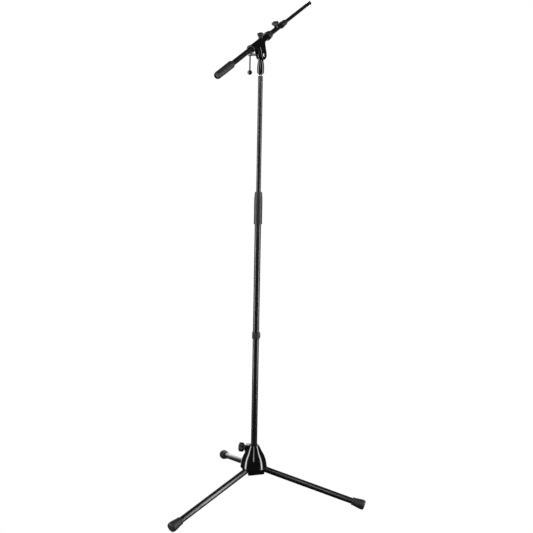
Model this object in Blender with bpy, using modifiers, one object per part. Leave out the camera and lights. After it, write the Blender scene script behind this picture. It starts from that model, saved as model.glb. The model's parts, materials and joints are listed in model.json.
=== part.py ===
"""Boom microphone stand: a folding tripod base, a two-stage column with a twist clutch, a tilting swivel
and a telescopic boom. Metres, +Z up. The origin is on the floor, under the middle of the whole stand."""

from math import cos, pi, radians, sin, tan

import bmesh
import bpy

MM = 0.001
GAP = 0.3 * MM
FINE = 32
MEDIUM = 24
COARSE = 16

# Place of the column's axis in the stand's own frame, and the height where the three leg axes meet it.
POLE_X = -56.04 * MM
POLE_Y = -40.83 * MM
HUB_Z = 122.6 * MM

# Base hub: heights are measured from HUB_Z.
HUB_TOP = 74.4 * MM
HUB_RIM = -5.0 * MM
HUB_BOTTOM = -26.0 * MM
RIM_RADIUS = 46.8 * MM
HUB_BORE = 13.0 * MM
SKIRT_FLAT = 34.0 * MM
SKIRT_HALF = 30.0 * MM
SKIRT_OVERLAP = 5.0 * MM
SLOT_WIDTH = 23.2 * MM
SLOT_INNER = 17.0 * MM
BOSS_AZIMUTH = 167.4
BOSS_SIZE = (22.0 * MM, 28.0 * MM, 25.0 * MM)
BOSS_REACH = 31.0 * MM
CLAMP_Z = 62.0 * MM
CLAMP_SCREW = 4.0 * MM
BASE_KNOB_RADIUS = 16.5 * MM
BASE_KNOB_LENGTH = 21.0 * MM

# Legs: lengths run outwards from the pivot, along the leg.
LEG_AZIMUTHS = {"right": -12.6, "left": 227.4, "back": 107.4}
LEG_SLOPE = 15.2
PIVOT_RADIUS = 29.0 * MM
LEG_RISE = 4.0 * MM
LEG_TUBE = 10.6 * MM
LEG_BORE = 8.9 * MM
LEG_START = 12.3 * MM
LEG_END = 366.0 * MM
FOOT_START = 334.0 * MM
FOOT_END = 380.0 * MM
FOOT_THIN = 14.0 * MM
FOOT_WIDE = 17.5 * MM
PIN_RADIUS = 2.5 * MM
PIN_HALF = 19.0 * MM

# Column: heights are measured from HUB_Z.
LOWER_RADIUS = 11.0 * MM
LOWER_BORE = 9.6 * MM
LOWER_BOTTOM = -22.0 * MM
LOWER_TOP = 900.0 * MM
STOP_BOTTOM = 459.7 * MM
STOP_HEIGHT = 23.0 * MM
CLUTCH_BOTTOM = 858.4 * MM
CLUTCH_TOP = 966.4 * MM
CLUTCH_RADIUS = 14.1 * MM
UPPER_RADIUS = 8.0 * MM
UPPER_BORE = 6.8 * MM
UPPER_BOTTOM = 620.0 * MM
UPPER_TOP = 1348.9 * MM

# Swivel: the tilt axis crosses the column's axis at TILT_Z, measured from HUB_Z.
SOCKET_BOTTOM = 1356.5 * MM
SOCKET_RADIUS = 11.8 * MM
TILT_Z = 1417.3 * MM
TONGUE_HALF = 4.0 * MM
TONGUE_RADIUS = 15.5 * MM
CHEEK_INNER = 5.6 * MM
LEFT_CHEEK = 10.5 * MM
RIGHT_CHEEK = 14.5 * MM
CHEEK_RADIUS = 17.0 * MM
CHEEK_HOLE = 4.3 * MM
NUT_RADIUS = 7.5 * MM
NUT_HEIGHT = 4.0 * MM
BAR_REACH = 41.0 * MM
BAR_RADIUS = 2.5 * MM
BALL_DROP = 57.8 * MM
BALL_RADIUS = 8.0 * MM

# Boom: lengths run forwards from the foot of the perpendicular between the tilt axis and the boom's axis.
BOOM_AZIMUTH = 60.3
BOOM_INCLINE = 22.6
BOOM_OFFSET = 40.5 * MM
SLEEVE_REAR = -50.0 * MM
SLEEVE_FRONT = 53.0 * MM
SLEEVE_RADIUS = 11.6 * MM
SLEEVE_BORE = 9.8 * MM
BOOM_RADIUS = 8.5 * MM
BOOM_BORE = 7.3 * MM
BOOM_REAR = -270.0 * MM
BOOM_FRONT = 185.0 * MM
GRIP_REAR = -276.0 * MM
GRIP_FRONT = -183.0 * MM
GRIP_RADIUS = 12.4 * MM
COLLAR_FRONT = 79.0 * MM
BOOM_KNOB_X = 19.0 * MM
BOOM_BOSS_TOP = 14.0 * MM
EXTENSION_KNOB_X = 127.0 * MM
SADDLE_TOP = 12.0 * MM
EXTENSION_RADIUS = 6.3 * MM
EXTENSION_BORE = 5.2 * MM
EXTENSION_REAR = 60.0 * MM
EXTENSION_FRONT = 361.0 * MM
FLANGE_FRONT = 376.0 * MM
TIP_FRONT = 388.0 * MM

COLOURS = {
    "black_tube": (0.012, 0.012, 0.013, 0.22, 0.0),
    "black_casting": (0.010, 0.010, 0.011, 0.18, 0.0),
    "black_plastic": (0.020, 0.020, 0.021, 0.50, 0.0),
    "black_rubber": (0.024, 0.024, 0.024, 0.75, 0.0),
    "bright_steel": (0.62, 0.61, 0.59, 0.25, 1.0),
    "white_nylon": (0.72, 0.71, 0.66, 0.45, 0.0),
}


def clear_scene():
    for obj in list(bpy.data.objects):
        bpy.data.objects.remove(obj, do_unlink=True)


def new_collection(name):
    collection = bpy.data.collections.new(name)
    bpy.context.scene.collection.children.link(collection)
    return collection


def new_material(name, finish):
    """A material of the piece's own, in one of the stand's finishes."""
    red, green, blue, roughness, metallic = COLOURS[finish]
    material = bpy.data.materials.new(name)
    material.use_nodes = True
    shader = material.node_tree.nodes["Principled BSDF"]
    shader.inputs["Base Color"].default_value = (red, green, blue, 1)
    shader.inputs["Roughness"].default_value = roughness
    shader.inputs["Metallic"].default_value = metallic
    return material


def place(obj, parent, location=(0, 0, 0), rotation=(0, 0, 0)):
    obj.parent = parent
    obj.location = location
    obj.rotation_euler = rotation
    return obj


def empty(name, parent, location=(0, 0, 0), rotation=(0, 0, 0)):
    obj = bpy.data.objects.new(name, None)
    parts.objects.link(obj)
    return place(obj, parent, location, rotation)


def add_object(name, mesh, finish):
    """A part with its own material, or a cutter when the finish is None."""
    obj = bpy.data.objects.new(name, mesh)
    if finish is None:
        cutters.objects.link(obj)
        obj.hide_render = True
        obj.display_type = "WIRE"
    else:
        parts.objects.link(obj)
        mesh.materials.append(new_material(name, finish))
    return obj


def turned(name, profile, finish, steps=FINE, ring=False):
    """A solid of revolution about local Z. The profile is (radius, height) points, which run down the outer
    side and back up the bore. A ring's profile is a closed loop that stays off the axis."""
    points = [(radius, 0, height) for radius, height in profile]
    edges = [(i, i + 1) for i in range(len(points) - 1)]
    if ring:
        edges.append((len(points) - 1, 0))
    mesh = bpy.data.meshes.new(name)
    mesh.from_pydata(points, edges, [])
    obj = add_object(name, mesh, finish)
    screw = obj.modifiers.new("turn", "SCREW")
    screw.steps = steps
    screw.render_steps = steps
    screw.use_merge_vertices = True
    screw.merge_threshold = 0.00001
    return obj


def tube(name, radius, bore, low, high, finish, steps=FINE):
    profile = [(radius, high), (radius, low), (bore, low), (bore, high)]
    return turned(name, profile, finish, steps, ring=True)


def cylinder(name, radius, length, finish=None, steps=COARSE):
    """A solid cylinder on local Z, centred on its object's origin."""
    mesh = bpy.data.meshes.new(name)
    shape = bmesh.new()
    bmesh.ops.create_cone(
        shape, cap_ends=True, segments=steps, radius1=radius, radius2=radius, depth=length
    )
    shape.to_mesh(mesh)
    shape.free()
    return add_object(name, mesh, finish)


def block(name, size, finish=None):
    """A box centred on its object's origin."""
    mesh = bpy.data.meshes.new(name)
    shape = bmesh.new()
    bmesh.ops.create_cube(shape, size=1)
    bmesh.ops.scale(shape, vec=size, verts=shape.verts)
    shape.to_mesh(mesh)
    shape.free()
    return add_object(name, mesh, finish)


def plate(name, outline, thickness, finish=None):
    """A flat outline in local XY with thickness along local Z, centred on its object's origin."""
    curve = bpy.data.curves.new(name, "CURVE")
    curve.dimensions = "2D"
    curve.fill_mode = "BOTH"
    curve.extrude = thickness / 2
    spline = curve.splines.new("POLY")
    spline.points.add(len(outline) - 1)
    for point, (x, y) in zip(spline.points, outline):
        point.co = (x, y, 0, 1)
    spline.use_cyclic_u = True
    drawn = bpy.data.objects.new(name + "_outline", curve)
    cutters.objects.link(drawn)
    graph = bpy.context.evaluated_depsgraph_get()
    mesh = bpy.data.meshes.new_from_object(drawn.evaluated_get(graph))
    bpy.data.objects.remove(drawn)
    bpy.data.curves.remove(curve)
    shape = bmesh.new()
    shape.from_mesh(mesh)
    bmesh.ops.remove_doubles(shape, verts=shape.verts, dist=0.000001)
    bmesh.ops.recalc_face_normals(shape, faces=shape.faces)
    shape.to_mesh(mesh)
    shape.free()
    mesh.name = name
    return add_object(name, mesh, finish)


def boolean(target, other, operation):
    modifier = target.modifiers.new(other.name, "BOOLEAN")
    modifier.operation = operation
    modifier.solver = "EXACT"
    modifier.object = other


def arc(centre_x, centre_y, radius, start, end, count):
    """Points of an arc, with its angles in degrees."""
    turn = (end - start) / (count - 1)
    angles = [radians(start + turn * i) for i in range(count)]
    return [(centre_x + radius * cos(a), centre_y + radius * sin(a)) for a in angles]


def lobed_outline(radius, lobes, depth, count):
    """A hand knob's outline: a circle whose radius swells and shrinks once for each lobe."""
    points = []
    for i in range(count):
        angle = 2 * pi * i / count
        reach = radius - depth * (0.5 - 0.5 * cos(lobes * angle))
        points.append((reach * cos(angle), reach * sin(angle)))
    return points


def polar(radius, azimuth, height):
    angle = radians(azimuth)
    return (radius * cos(angle), radius * sin(angle), height)


def across(azimuth):
    """The rotation that lays local Z level, square to an azimuth."""
    return (radians(90), 0, radians(azimuth))


def outward(azimuth):
    """The rotation that lays local Z level, along an azimuth."""
    return (0, radians(90), radians(azimuth))


# Base


def make_hub(stand):
    """The die-cast hub: a bell, a three-sided skirt with a slot for each leg, and a boss for the clamp."""
    bell = [
        (0, HUB_TOP),
        (17.5 * MM, HUB_TOP),
        (19.5 * MM, 71.0 * MM),
        (27.3 * MM, 55.0 * MM),
        (34.0 * MM, 43.5 * MM),
        (39.0 * MM, 33.0 * MM),
        (43.9 * MM, 17.0 * MM),
        (RIM_RADIUS, HUB_RIM + 3 * MM),
        (RIM_RADIUS, HUB_RIM),
        (0, HUB_RIM),
    ]
    hub = place(turned("base_hub", bell, "black_casting"), stand, (0, 0, HUB_Z))
    skirt = place(make_skirt(), stand, (0, 0, HUB_Z + (HUB_BOTTOM + SKIRT_OVERLAP) / 2))
    boolean(hub, skirt, "UNION")
    boss = block("hub_boss_form", BOSS_SIZE)
    boss_middle = polar(BOSS_REACH - BOSS_SIZE[0] / 2, BOSS_AZIMUTH, HUB_Z + HUB_TOP - BOSS_SIZE[2] / 2)
    place(boss, stand, boss_middle, (0, 0, radians(BOSS_AZIMUTH)))
    soften = boss.modifiers.new("soften", "BEVEL")
    soften.width = 3 * MM
    soften.segments = 2
    boolean(hub, boss, "UNION")
    bore = place(cylinder("hub_bore_cut", HUB_BORE, 200 * MM, steps=FINE), stand, (0, 0, HUB_Z))
    boolean(hub, bore, "DIFFERENCE")
    for side, azimuth in LEG_AZIMUTHS.items():
        slot = plate(f"hub_slot_cut_{side}", slot_outline(), SLOT_WIDTH)
        place(slot, stand, (0, 0, HUB_Z), across(azimuth))
        boolean(hub, slot, "DIFFERENCE")
        hole = cylinder(f"hub_pin_cut_{side}", PIN_RADIUS + GAP, 50 * MM)
        place(hole, stand, polar(PIVOT_RADIUS, azimuth, pivot_height()), across(azimuth))
        boolean(hub, hole, "DIFFERENCE")
    screw_hole = cylinder("hub_clamp_cut", CLAMP_SCREW + GAP, 30 * MM)
    place(screw_hole, stand, polar(24 * MM, BOSS_AZIMUTH, HUB_Z + CLAMP_Z), outward(BOSS_AZIMUTH))
    boolean(hub, screw_hole, "DIFFERENCE")


def make_skirt():
    """A six-sided prism: a wide flat between each pair of legs, and a narrow one across each leg."""
    outline = []
    for azimuth in LEG_AZIMUTHS.values():
        middle = radians(azimuth + 60)
        for side in (-1, 1):
            x = SKIRT_FLAT * cos(middle) - side * SKIRT_HALF * sin(middle)
            y = SKIRT_FLAT * sin(middle) + side * SKIRT_HALF * cos(middle)
            outline.append((x, y))
    ordered = [outline[i] for i in (0, 1, 4, 5, 2, 3)]
    return plate("hub_skirt_form", ordered, SKIRT_OVERLAP - HUB_BOTTOM)


def slot_outline():
    """Side view of a leg's slot: its roof lies along the leg at rest, and it is open below."""
    rise = (LEG_TUBE + 0.4 * MM) / cos(radians(LEG_SLOPE))
    slope = tan(radians(LEG_SLOPE))
    inner = SLOT_INNER
    outer = 70 * MM
    low = HUB_BOTTOM - 20 * MM
    return [(inner, low), (outer, low), (outer, rise - outer * slope), (inner, rise - inner * slope)]


def pivot_height():
    """Height of the leg pins: each leg's axis passes LEG_RISE above its pin, square to the leg."""
    slope = radians(LEG_SLOPE)
    return HUB_Z - PIVOT_RADIUS * tan(slope) - LEG_RISE / cos(slope)


def make_hub_bush(stand):
    """The nylon liner that the column slides in, with a window for the clamp's pad."""
    bush = tube("hub_bush", HUB_BORE - GAP, LOWER_RADIUS + GAP, -18 * MM, 72 * MM, "white_nylon")
    place(bush, stand, (0, 0, HUB_Z))
    window = cylinder("bush_window_cut", CLAMP_SCREW + 2 * GAP, 10 * MM)
    place(window, stand, polar(12 * MM, BOSS_AZIMUTH, HUB_Z + CLAMP_Z), outward(BOSS_AZIMUTH))
    boolean(bush, window, "DIFFERENCE")


def make_base_clamp(stand):
    """The star knob, its screw and the pad that it presses on the column."""
    axis = empty("base_clamp_axis", stand, (0, 0, HUB_Z + CLAMP_Z), outward(BOSS_AZIMUTH))
    pad_end = 14.0 * MM
    screw_end = 46.0 * MM
    place(tube_pad("base_clamp_pad", CLAMP_SCREW, LOWER_RADIUS + GAP, pad_end), axis)
    screw = [(0, screw_end), (CLAMP_SCREW, screw_end), (CLAMP_SCREW, pad_end + GAP), (0, pad_end + GAP)]
    place(turned("base_clamp_screw", screw, "bright_steel", MEDIUM), axis)
    start = BOSS_REACH + 2.5 * MM
    make_knob("base_clamp_knob", axis, BASE_KNOB_RADIUS, BASE_KNOB_LENGTH, start, screw_end, 6)


def tube_pad(name, radius, low, high):
    profile = [(0, high), (radius, high), (radius, low), (0, low)]
    return turned(name, profile, "white_nylon", COARSE)


def make_knob(name, axis, radius, length, start, screw_end, lobes):
    """A lobed hand knob on a screw: a round neck towards the part it clamps, and a lobed head."""
    neck = 0.2 * length
    outline = lobed_outline(radius, lobes, 0.16 * radius, 8 * lobes)
    head = plate(name, outline, length - neck, "black_plastic")
    place(head, axis, (0, 0, start + neck + (length - neck) / 2))
    round_edge = head.modifiers.new("round_edge", "BEVEL")
    round_edge.width = 1.2 * MM
    round_edge.segments = 1
    collar = cylinder(name + "_neck_form", 0.55 * radius, neck + 2 * MM, steps=MEDIUM)
    place(collar, axis, (0, 0, start + (neck + 2 * MM) / 2))
    boolean(head, collar, "UNION")
    hole_length = screw_end - start + GAP
    hole = cylinder(name + "_hole_cut", CLAMP_SCREW + GAP, hole_length + 10 * MM)
    place(hole, axis, (0, 0, screw_end + GAP - (hole_length + 10 * MM) / 2))
    boolean(head, hole, "DIFFERENCE")


# Legs


def make_leg(stand, side, azimuth):
    """One leg on its pivot: local Z runs outwards along the leg, and local X points down."""
    where = polar(PIVOT_RADIUS, azimuth, pivot_height())
    pivot = empty(f"leg_pivot_{side}", stand, where, (0, radians(90 + LEG_SLOPE), radians(azimuth)))
    make_leg_pin(pivot, side)
    make_leg_knuckle(pivot, side)
    shell = tube(f"leg_tube_{side}", LEG_TUBE, LEG_BORE, LEG_START, LEG_END, "black_tube", MEDIUM)
    place(shell, pivot, (-LEG_RISE, 0, 0))
    make_foot(pivot, side)


def make_leg_pin(pivot, side):
    pin = cylinder(f"leg_pin_{side}", PIN_RADIUS, 2 * PIN_HALF, "bright_steel", COARSE)
    place(pin, pivot, rotation=across(0))


def make_leg_knuckle(pivot, side):
    """The leg's hinge end: an eye for the pin, a shoulder for the tube, and a plug inside the tube."""
    plug = LEG_BORE - GAP
    profile = [
        (0, 60 * MM),
        (plug, 60 * MM),
        (plug, LEG_START - GAP),
        (LEG_TUBE - 0.2 * MM, LEG_START - GAP),
        (LEG_TUBE - 0.2 * MM, 5 * MM),
        (plug, 2 * MM),
        (0, 2 * MM),
    ]
    knuckle = turned(f"leg_knuckle_{side}", profile, "black_casting", MEDIUM)
    place(knuckle, pivot, (-LEG_RISE, 0, 0))
    eye = cylinder(f"leg_eye_form_{side}", 8.5 * MM, SLOT_WIDTH - 1.6 * MM, steps=MEDIUM)
    place(eye, pivot, rotation=across(0))
    boolean(knuckle, eye, "UNION")
    hole = cylinder(f"leg_eye_cut_{side}", PIN_RADIUS + 0.2 * MM, 40 * MM)
    place(hole, pivot, rotation=across(0))
    boolean(knuckle, hole, "DIFFERENCE")


def make_foot(pivot, side):
    """The flared rubber boot, with a flat where it stands on the floor."""
    edge = 6 * MM
    bore = LEG_TUBE + GAP
    profile = [(0, FOOT_END)]
    profile += arc_down(FOOT_WIDE - edge, FOOT_END - edge, edge)
    profile += [(FOOT_THIN, FOOT_START), (bore, FOOT_START), (bore, LEG_END + GAP), (0, LEG_END + GAP)]
    foot = place(turned(f"leg_foot_{side}", profile, "black_rubber", MEDIUM), pivot, (-LEG_RISE, 0, 0))
    boolean(foot, floor_cutter, "DIFFERENCE")


def arc_down(centre_x, centre_y, radius):
    """A quarter round from the top of a profile down to its side."""
    return arc(centre_x, centre_y, radius, 90, 0, 5)


# Column


def make_lower_column(column):
    place(tube("lower_tube", LOWER_RADIUS, LOWER_BORE, LOWER_BOTTOM, LOWER_TOP, "black_tube"), column)
    inner = LOWER_BORE - GAP
    flange_top = LOWER_BOTTOM - GAP
    plug = [
        (0, LOWER_BOTTOM + 14 * MM),
        (inner, LOWER_BOTTOM + 14 * MM),
        (inner, flange_top),
        (LOWER_RADIUS, flange_top),
        (LOWER_RADIUS, flange_top - 2.5 * MM),
        (0, flange_top - 2.5 * MM),
    ]
    place(turned("lower_tube_plug", plug, "black_plastic", MEDIUM), column)
    make_stop_ring(column)


def make_stop_ring(column):
    """The rubber ring that the hub meets when the column is let down, with a lobe for each folded leg."""
    low = STOP_BOTTOM
    high = STOP_BOTTOM + STOP_HEIGHT
    outer = 13.4 * MM
    edge = 1.5 * MM
    bore = LOWER_RADIUS + GAP
    profile = [
        (0, high),
        (outer - edge, high),
        (outer, high - edge),
        (outer, low + edge),
        (outer - edge, low),
        (0, low),
    ]
    ring = place(turned("stop_ring", profile, "black_rubber", MEDIUM), column)
    for side, azimuth in LEG_AZIMUTHS.items():
        lobe = cylinder(f"stop_lobe_form_{side}", 5 * MM, 0.72 * STOP_HEIGHT)
        place(lobe, column, polar(10.4 * MM, azimuth, (low + high) / 2))
        boolean(ring, lobe, "UNION")
    bore_cut = cylinder("stop_bore_cut", bore, 40 * MM, steps=MEDIUM)
    place(bore_cut, column, (0, 0, (low + high) / 2))
    boolean(ring, bore_cut, "DIFFERENCE")


def make_clutch(column):
    """The twist clutch: a threaded body on the lower tube, a split collet and the grip that closes it."""
    body_bottom = CLUTCH_BOTTOM + 4 * MM
    body_top = LOWER_TOP + 40 * MM
    body = [
        (12.7 * MM, body_top),
        (12.7 * MM, body_bottom),
        (LOWER_RADIUS + GAP, body_bottom),
        (LOWER_RADIUS + GAP, LOWER_TOP + GAP),
        (10.6 * MM, LOWER_TOP + GAP),
        (10.6 * MM, body_top),
    ]
    place(turned("clutch_body", body, "black_plastic", MEDIUM, ring=True), column)
    collet_bottom = LOWER_TOP + 5 * MM
    cone_top = body_top + 15 * MM
    collet = [
        (9.6 * MM, cone_top),
        (12.3 * MM, body_top + 8 * MM),
        (12.3 * MM, body_top + GAP),
        (10.3 * MM, body_top + GAP),
        (10.3 * MM, collet_bottom),
        (UPPER_RADIUS + 0.2 * MM, collet_bottom),
        (UPPER_RADIUS + 0.2 * MM, cone_top),
    ]
    jaws = place(turned("clutch_collet", collet, "white_nylon", MEDIUM, ring=True), column)
    slit = block("collet_slit_cut", (40 * MM, 1.4 * MM, 30 * MM))
    place(slit, column, (0, 0, cone_top - 5 * MM), (0, 0, radians(45)))
    boolean(jaws, slit, "DIFFERENCE")
    inner = 13.0 * MM
    mouth = UPPER_RADIUS + 0.45 * MM
    grip = [
        (mouth + 1.6 * MM, CLUTCH_TOP),
        (12.1 * MM, CLUTCH_TOP - 1.5 * MM),
        (13.0 * MM, CLUTCH_TOP - 12 * MM),
        (CLUTCH_RADIUS, CLUTCH_TOP - 26 * MM),
        (CLUTCH_RADIUS, CLUTCH_BOTTOM + 8 * MM),
        (CLUTCH_RADIUS + 0.5 * MM, CLUTCH_BOTTOM + 5 * MM),
        (CLUTCH_RADIUS + 0.5 * MM, CLUTCH_BOTTOM),
        (inner, CLUTCH_BOTTOM),
        (inner, CLUTCH_TOP - 16 * MM),
        (mouth, CLUTCH_TOP - 4 * MM),
        (mouth, CLUTCH_TOP),
    ]
    place(turned("clutch_grip", grip, "black_plastic", ring=True), column)


def make_upper_column(column):
    place(tube("upper_tube", UPPER_RADIUS, UPPER_BORE, UPPER_BOTTOM, UPPER_TOP, "black_tube", MEDIUM), column)
    outer = LOWER_BORE - GAP
    inner = UPPER_RADIUS + GAP
    bush_top = UPPER_BOTTOM + 30 * MM
    place(tube("upper_tube_bush", outer, inner, UPPER_BOTTOM, bush_top, "white_nylon", MEDIUM), column)
    washer_bottom = UPPER_TOP + GAP
    washer_top = washer_bottom + 2.8 * MM
    washer = tube("head_washer", 9.7 * MM, UPPER_BORE, washer_bottom, washer_top, "bright_steel", MEDIUM)
    place(washer, column)
    plug = UPPER_BORE - GAP
    thread = 7.6 * MM
    stud_top = SOCKET_BOTTOM + 16 * MM
    stud = [
        (0, stud_top),
        (thread - 1 * MM, stud_top),
        (thread, stud_top - 1 * MM),
        (thread, washer_top + GAP),
        (plug, washer_top + GAP),
        (plug, UPPER_TOP - 30 * MM),
        (0, UPPER_TOP - 30 * MM),
    ]
    place(turned("head_stud", stud, "black_tube", MEDIUM), column)


# Swivel


def make_swivel_base(stand):
    """The lower casting: a socket on the column's stud, a neck, and a round tongue on the tilt axis."""
    bore = 7.6 * MM + GAP
    profile = [
        (0, TILT_Z - CHEEK_RADIUS - 0.6 * MM),
        (6.0 * MM, TILT_Z - CHEEK_RADIUS - 0.6 * MM),
        (9.8 * MM, TILT_Z - 21 * MM),
        (10.2 * MM, TILT_Z - 25 * MM),
        (SOCKET_RADIUS, SOCKET_BOTTOM + 24 * MM),
        (SOCKET_RADIUS, SOCKET_BOTTOM + 8 * MM),
        (SOCKET_RADIUS - 1 * MM, SOCKET_BOTTOM),
        (bore, SOCKET_BOTTOM),
        (bore, SOCKET_BOTTOM + 18 * MM),
        (0, SOCKET_BOTTOM + 18 * MM),
    ]
    base = place(turned("swivel_base", profile, "black_casting", MEDIUM), stand, (0, 0, HUB_Z))
    outline = [(-9 * MM, -26 * MM), (9 * MM, -26 * MM)]
    outline += arc(0, 0, TONGUE_RADIUS, -30, 210, 13)
    tongue = plate("tongue_form", outline, 2 * TONGUE_HALF)
    place(tongue, stand, (0, 0, HUB_Z + TILT_Z), across(BOOM_AZIMUTH))
    boolean(base, tongue, "UNION")
    hole = cylinder("tongue_hole_cut", CHEEK_HOLE, 40 * MM)
    place(hole, stand, (0, 0, HUB_Z + TILT_Z), across(BOOM_AZIMUTH))
    boolean(base, hole, "DIFFERENCE")


def make_boom_clamp(boom):
    """The upper casting: a sleeve for the boom over a fork whose two cheeks straddle the tongue."""
    profile = [
        (0, SLEEVE_FRONT),
        (SLEEVE_RADIUS, SLEEVE_FRONT),
        (SLEEVE_RADIUS, SLEEVE_REAR),
        (0, SLEEVE_REAR),
    ]
    barrel = turned("boom_clamp_body", profile, "black_casting", MEDIUM)
    place(barrel, boom, (0, 0, BOOM_OFFSET), outward(0))
    half_top = 20.0 * MM
    outline = [(half_top, BOOM_OFFSET - 3.5 * MM), (-half_top, BOOM_OFFSET - 3.5 * MM)]
    outline += arc(0, 0, CHEEK_RADIUS, 190, 350, 11)
    fork = plate("fork_form", outline, LEFT_CHEEK + RIGHT_CHEEK)
    place(fork, boom, (0, (LEFT_CHEEK - RIGHT_CHEEK) / 2, 0), across(0))
    boolean(barrel, fork, "UNION")
    throat_top = 21.0 * MM
    throat = block("fork_throat_cut", (60 * MM, 2 * CHEEK_INNER, 40 * MM + throat_top))
    place(throat, boom, (0, 0, (throat_top - 40 * MM) / 2))
    boolean(barrel, throat, "DIFFERENCE")
    boss = cylinder("clamp_boss_form", 7.5 * MM, 12 * MM, steps=MEDIUM)
    place(boss, boom, (BOOM_KNOB_X, 0, BOOM_OFFSET + BOOM_BOSS_TOP - 6 * MM))
    boolean(barrel, boss, "UNION")
    bore = cylinder("sleeve_bore_cut", SLEEVE_BORE, 200 * MM, steps=MEDIUM)
    place(bore, boom, (0, 0, BOOM_OFFSET), outward(0))
    boolean(barrel, bore, "DIFFERENCE")
    hole = cylinder("boss_hole_cut", CLAMP_SCREW + GAP, 30 * MM)
    place(hole, boom, (BOOM_KNOB_X, 0, BOOM_OFFSET + 17 * MM))
    boolean(barrel, hole, "DIFFERENCE")
    pivot = cylinder("fork_hole_cut", CHEEK_HOLE, 40 * MM)
    place(pivot, boom, rotation=across(0))
    boolean(barrel, pivot, "DIFFERENCE")
    pocket = cylinder("nut_pocket_cut", NUT_RADIUS + 0.4 * MM, 2 * NUT_HEIGHT, steps=6)
    place(pocket, boom, (0, NUT_HEIGHT / 2 - RIGHT_CHEEK - GAP, 0), across(0))
    boolean(barrel, pocket, "DIFFERENCE")


def make_friction_discs(boom):
    """The two fibre discs between the tongue and the cheeks."""
    for side, sign in (("left", 1), ("right", -1)):
        half = 0.5 * MM
        disc = tube(f"friction_disc_{side}", 13 * MM, CHEEK_HOLE, -half, half, "black_rubber", MEDIUM)
        place(disc, boom, (0, sign * (TONGUE_HALF + CHEEK_INNER) / 2, 0), across(0))


def make_tilt_screw(boom, turn):
    """The clamp screw through the fork, its washer and nut, and the sliding bar that turns it."""
    thread = CHEEK_HOLE - GAP
    head = 5.0 * MM
    head_start = BAR_REACH - 6 * MM
    head_end = BAR_REACH + 6 * MM
    shank_end = -RIGHT_CHEEK
    profile = [
        (0, head_end),
        (head - 1 * MM, head_end),
        (head, head_end - 1 * MM),
        (head, head_start),
        (thread, head_start - 1 * MM),
        (thread, shank_end),
        (0, shank_end),
    ]
    screw = place(turned("tilt_screw", profile, "bright_steel", COARSE), turn, rotation=(radians(-90), 0, 0))
    hole = cylinder("tilt_screw_cut", BAR_RADIUS + GAP, 40 * MM)
    place(hole, turn, (0, BAR_REACH, 0))
    boolean(screw, hole, "DIFFERENCE")
    face = LEFT_CHEEK + GAP
    washer = tube("tilt_washer", 8 * MM, CHEEK_HOLE, face, face + 1.7 * MM, "bright_steel", COARSE)
    place(washer, turn, rotation=(radians(-90), 0, 0))
    nut = cylinder("tilt_nut", NUT_RADIUS, NUT_HEIGHT, "bright_steel", 6)
    place(nut, boom, (0, NUT_HEIGHT / 2 - RIGHT_CHEEK, 0), across(0))
    nut_hole = cylinder("tilt_nut_cut", CHEEK_HOLE, 20 * MM)
    place(nut_hole, boom, (0, -RIGHT_CHEEK, 0), across(0))
    boolean(nut, nut_hole, "DIFFERENCE")


def make_tilt_bar(turn):
    """The bar that hangs through the screw's head, with a ball below and a small stop above."""
    bar = empty("tilt_bar_axis", turn, (0, BAR_REACH, 0))
    top = 6.8 * MM
    bottom = -BALL_DROP - 2 * MM
    rod = [(0, top), (BAR_RADIUS, top), (BAR_RADIUS, bottom), (0, bottom)]
    place(turned("tilt_bar", rod, "black_tube", COARSE), bar)
    hole = BAR_RADIUS + 0.2 * MM
    stop = [
        (0, top + 1.5 * MM),
        (2.6 * MM, top + 1.5 * MM),
        (3.5 * MM, top + 0.6 * MM),
        (3.5 * MM, top - 1.5 * MM),
        (hole, top - 1.5 * MM),
        (hole, top + GAP),
        (0, top + GAP),
    ]
    place(turned("tilt_bar_stop", stop, "black_tube", COARSE), bar)
    make_ball(bar, hole, bottom - GAP)


def make_ball(bar, hole, floor):
    """A ball with a blind bore from above. Its profile climbs out of the bore, then runs down the outside."""
    profile = [(0, floor), (hole, floor), (hole, -BALL_DROP + BALL_RADIUS * sin(radians(68)))]
    profile += arc(0, -BALL_DROP, BALL_RADIUS, 68, -90, 12)[:-1]
    profile += [(0, -BALL_DROP - BALL_RADIUS)]
    place(turned("tilt_bar_ball", profile, "black_plastic", MEDIUM), bar)


# Boom


def make_boom_bushes(boom):
    """The flared rear bush and the stepped front collar that centre the boom in its sleeve."""
    start = (0, 0, BOOM_OFFSET)
    along = outward(0)
    spigot = SLEEVE_BORE - GAP
    bore = BOOM_RADIUS + GAP
    rear = [
        (spigot, -30 * MM),
        (spigot, SLEEVE_REAR - GAP),
        (12.3 * MM, SLEEVE_REAR - GAP),
        (14.0 * MM, SLEEVE_REAR - 3 * MM),
        (14.0 * MM, SLEEVE_REAR - 7 * MM),
        (13.0 * MM, SLEEVE_REAR - 8 * MM),
        (bore, SLEEVE_REAR - 8 * MM),
        (bore, -30 * MM),
    ]
    place(turned("boom_rear_bush", rear, "black_plastic", MEDIUM, ring=True), boom, start, along)
    front = [
        (bore, COLLAR_FRONT),
        (11.6 * MM, COLLAR_FRONT),
        (12.4 * MM, COLLAR_FRONT - 1 * MM),
        (12.9 * MM, 69 * MM),
        (14.2 * MM, 66 * MM),
        (14.2 * MM, SLEEVE_FRONT + GAP),
        (spigot, SLEEVE_FRONT + GAP),
        (spigot, 40 * MM),
        (bore, 40 * MM),
    ]
    place(turned("boom_front_collar", front, "black_plastic", MEDIUM, ring=True), boom, start, along)


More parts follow.
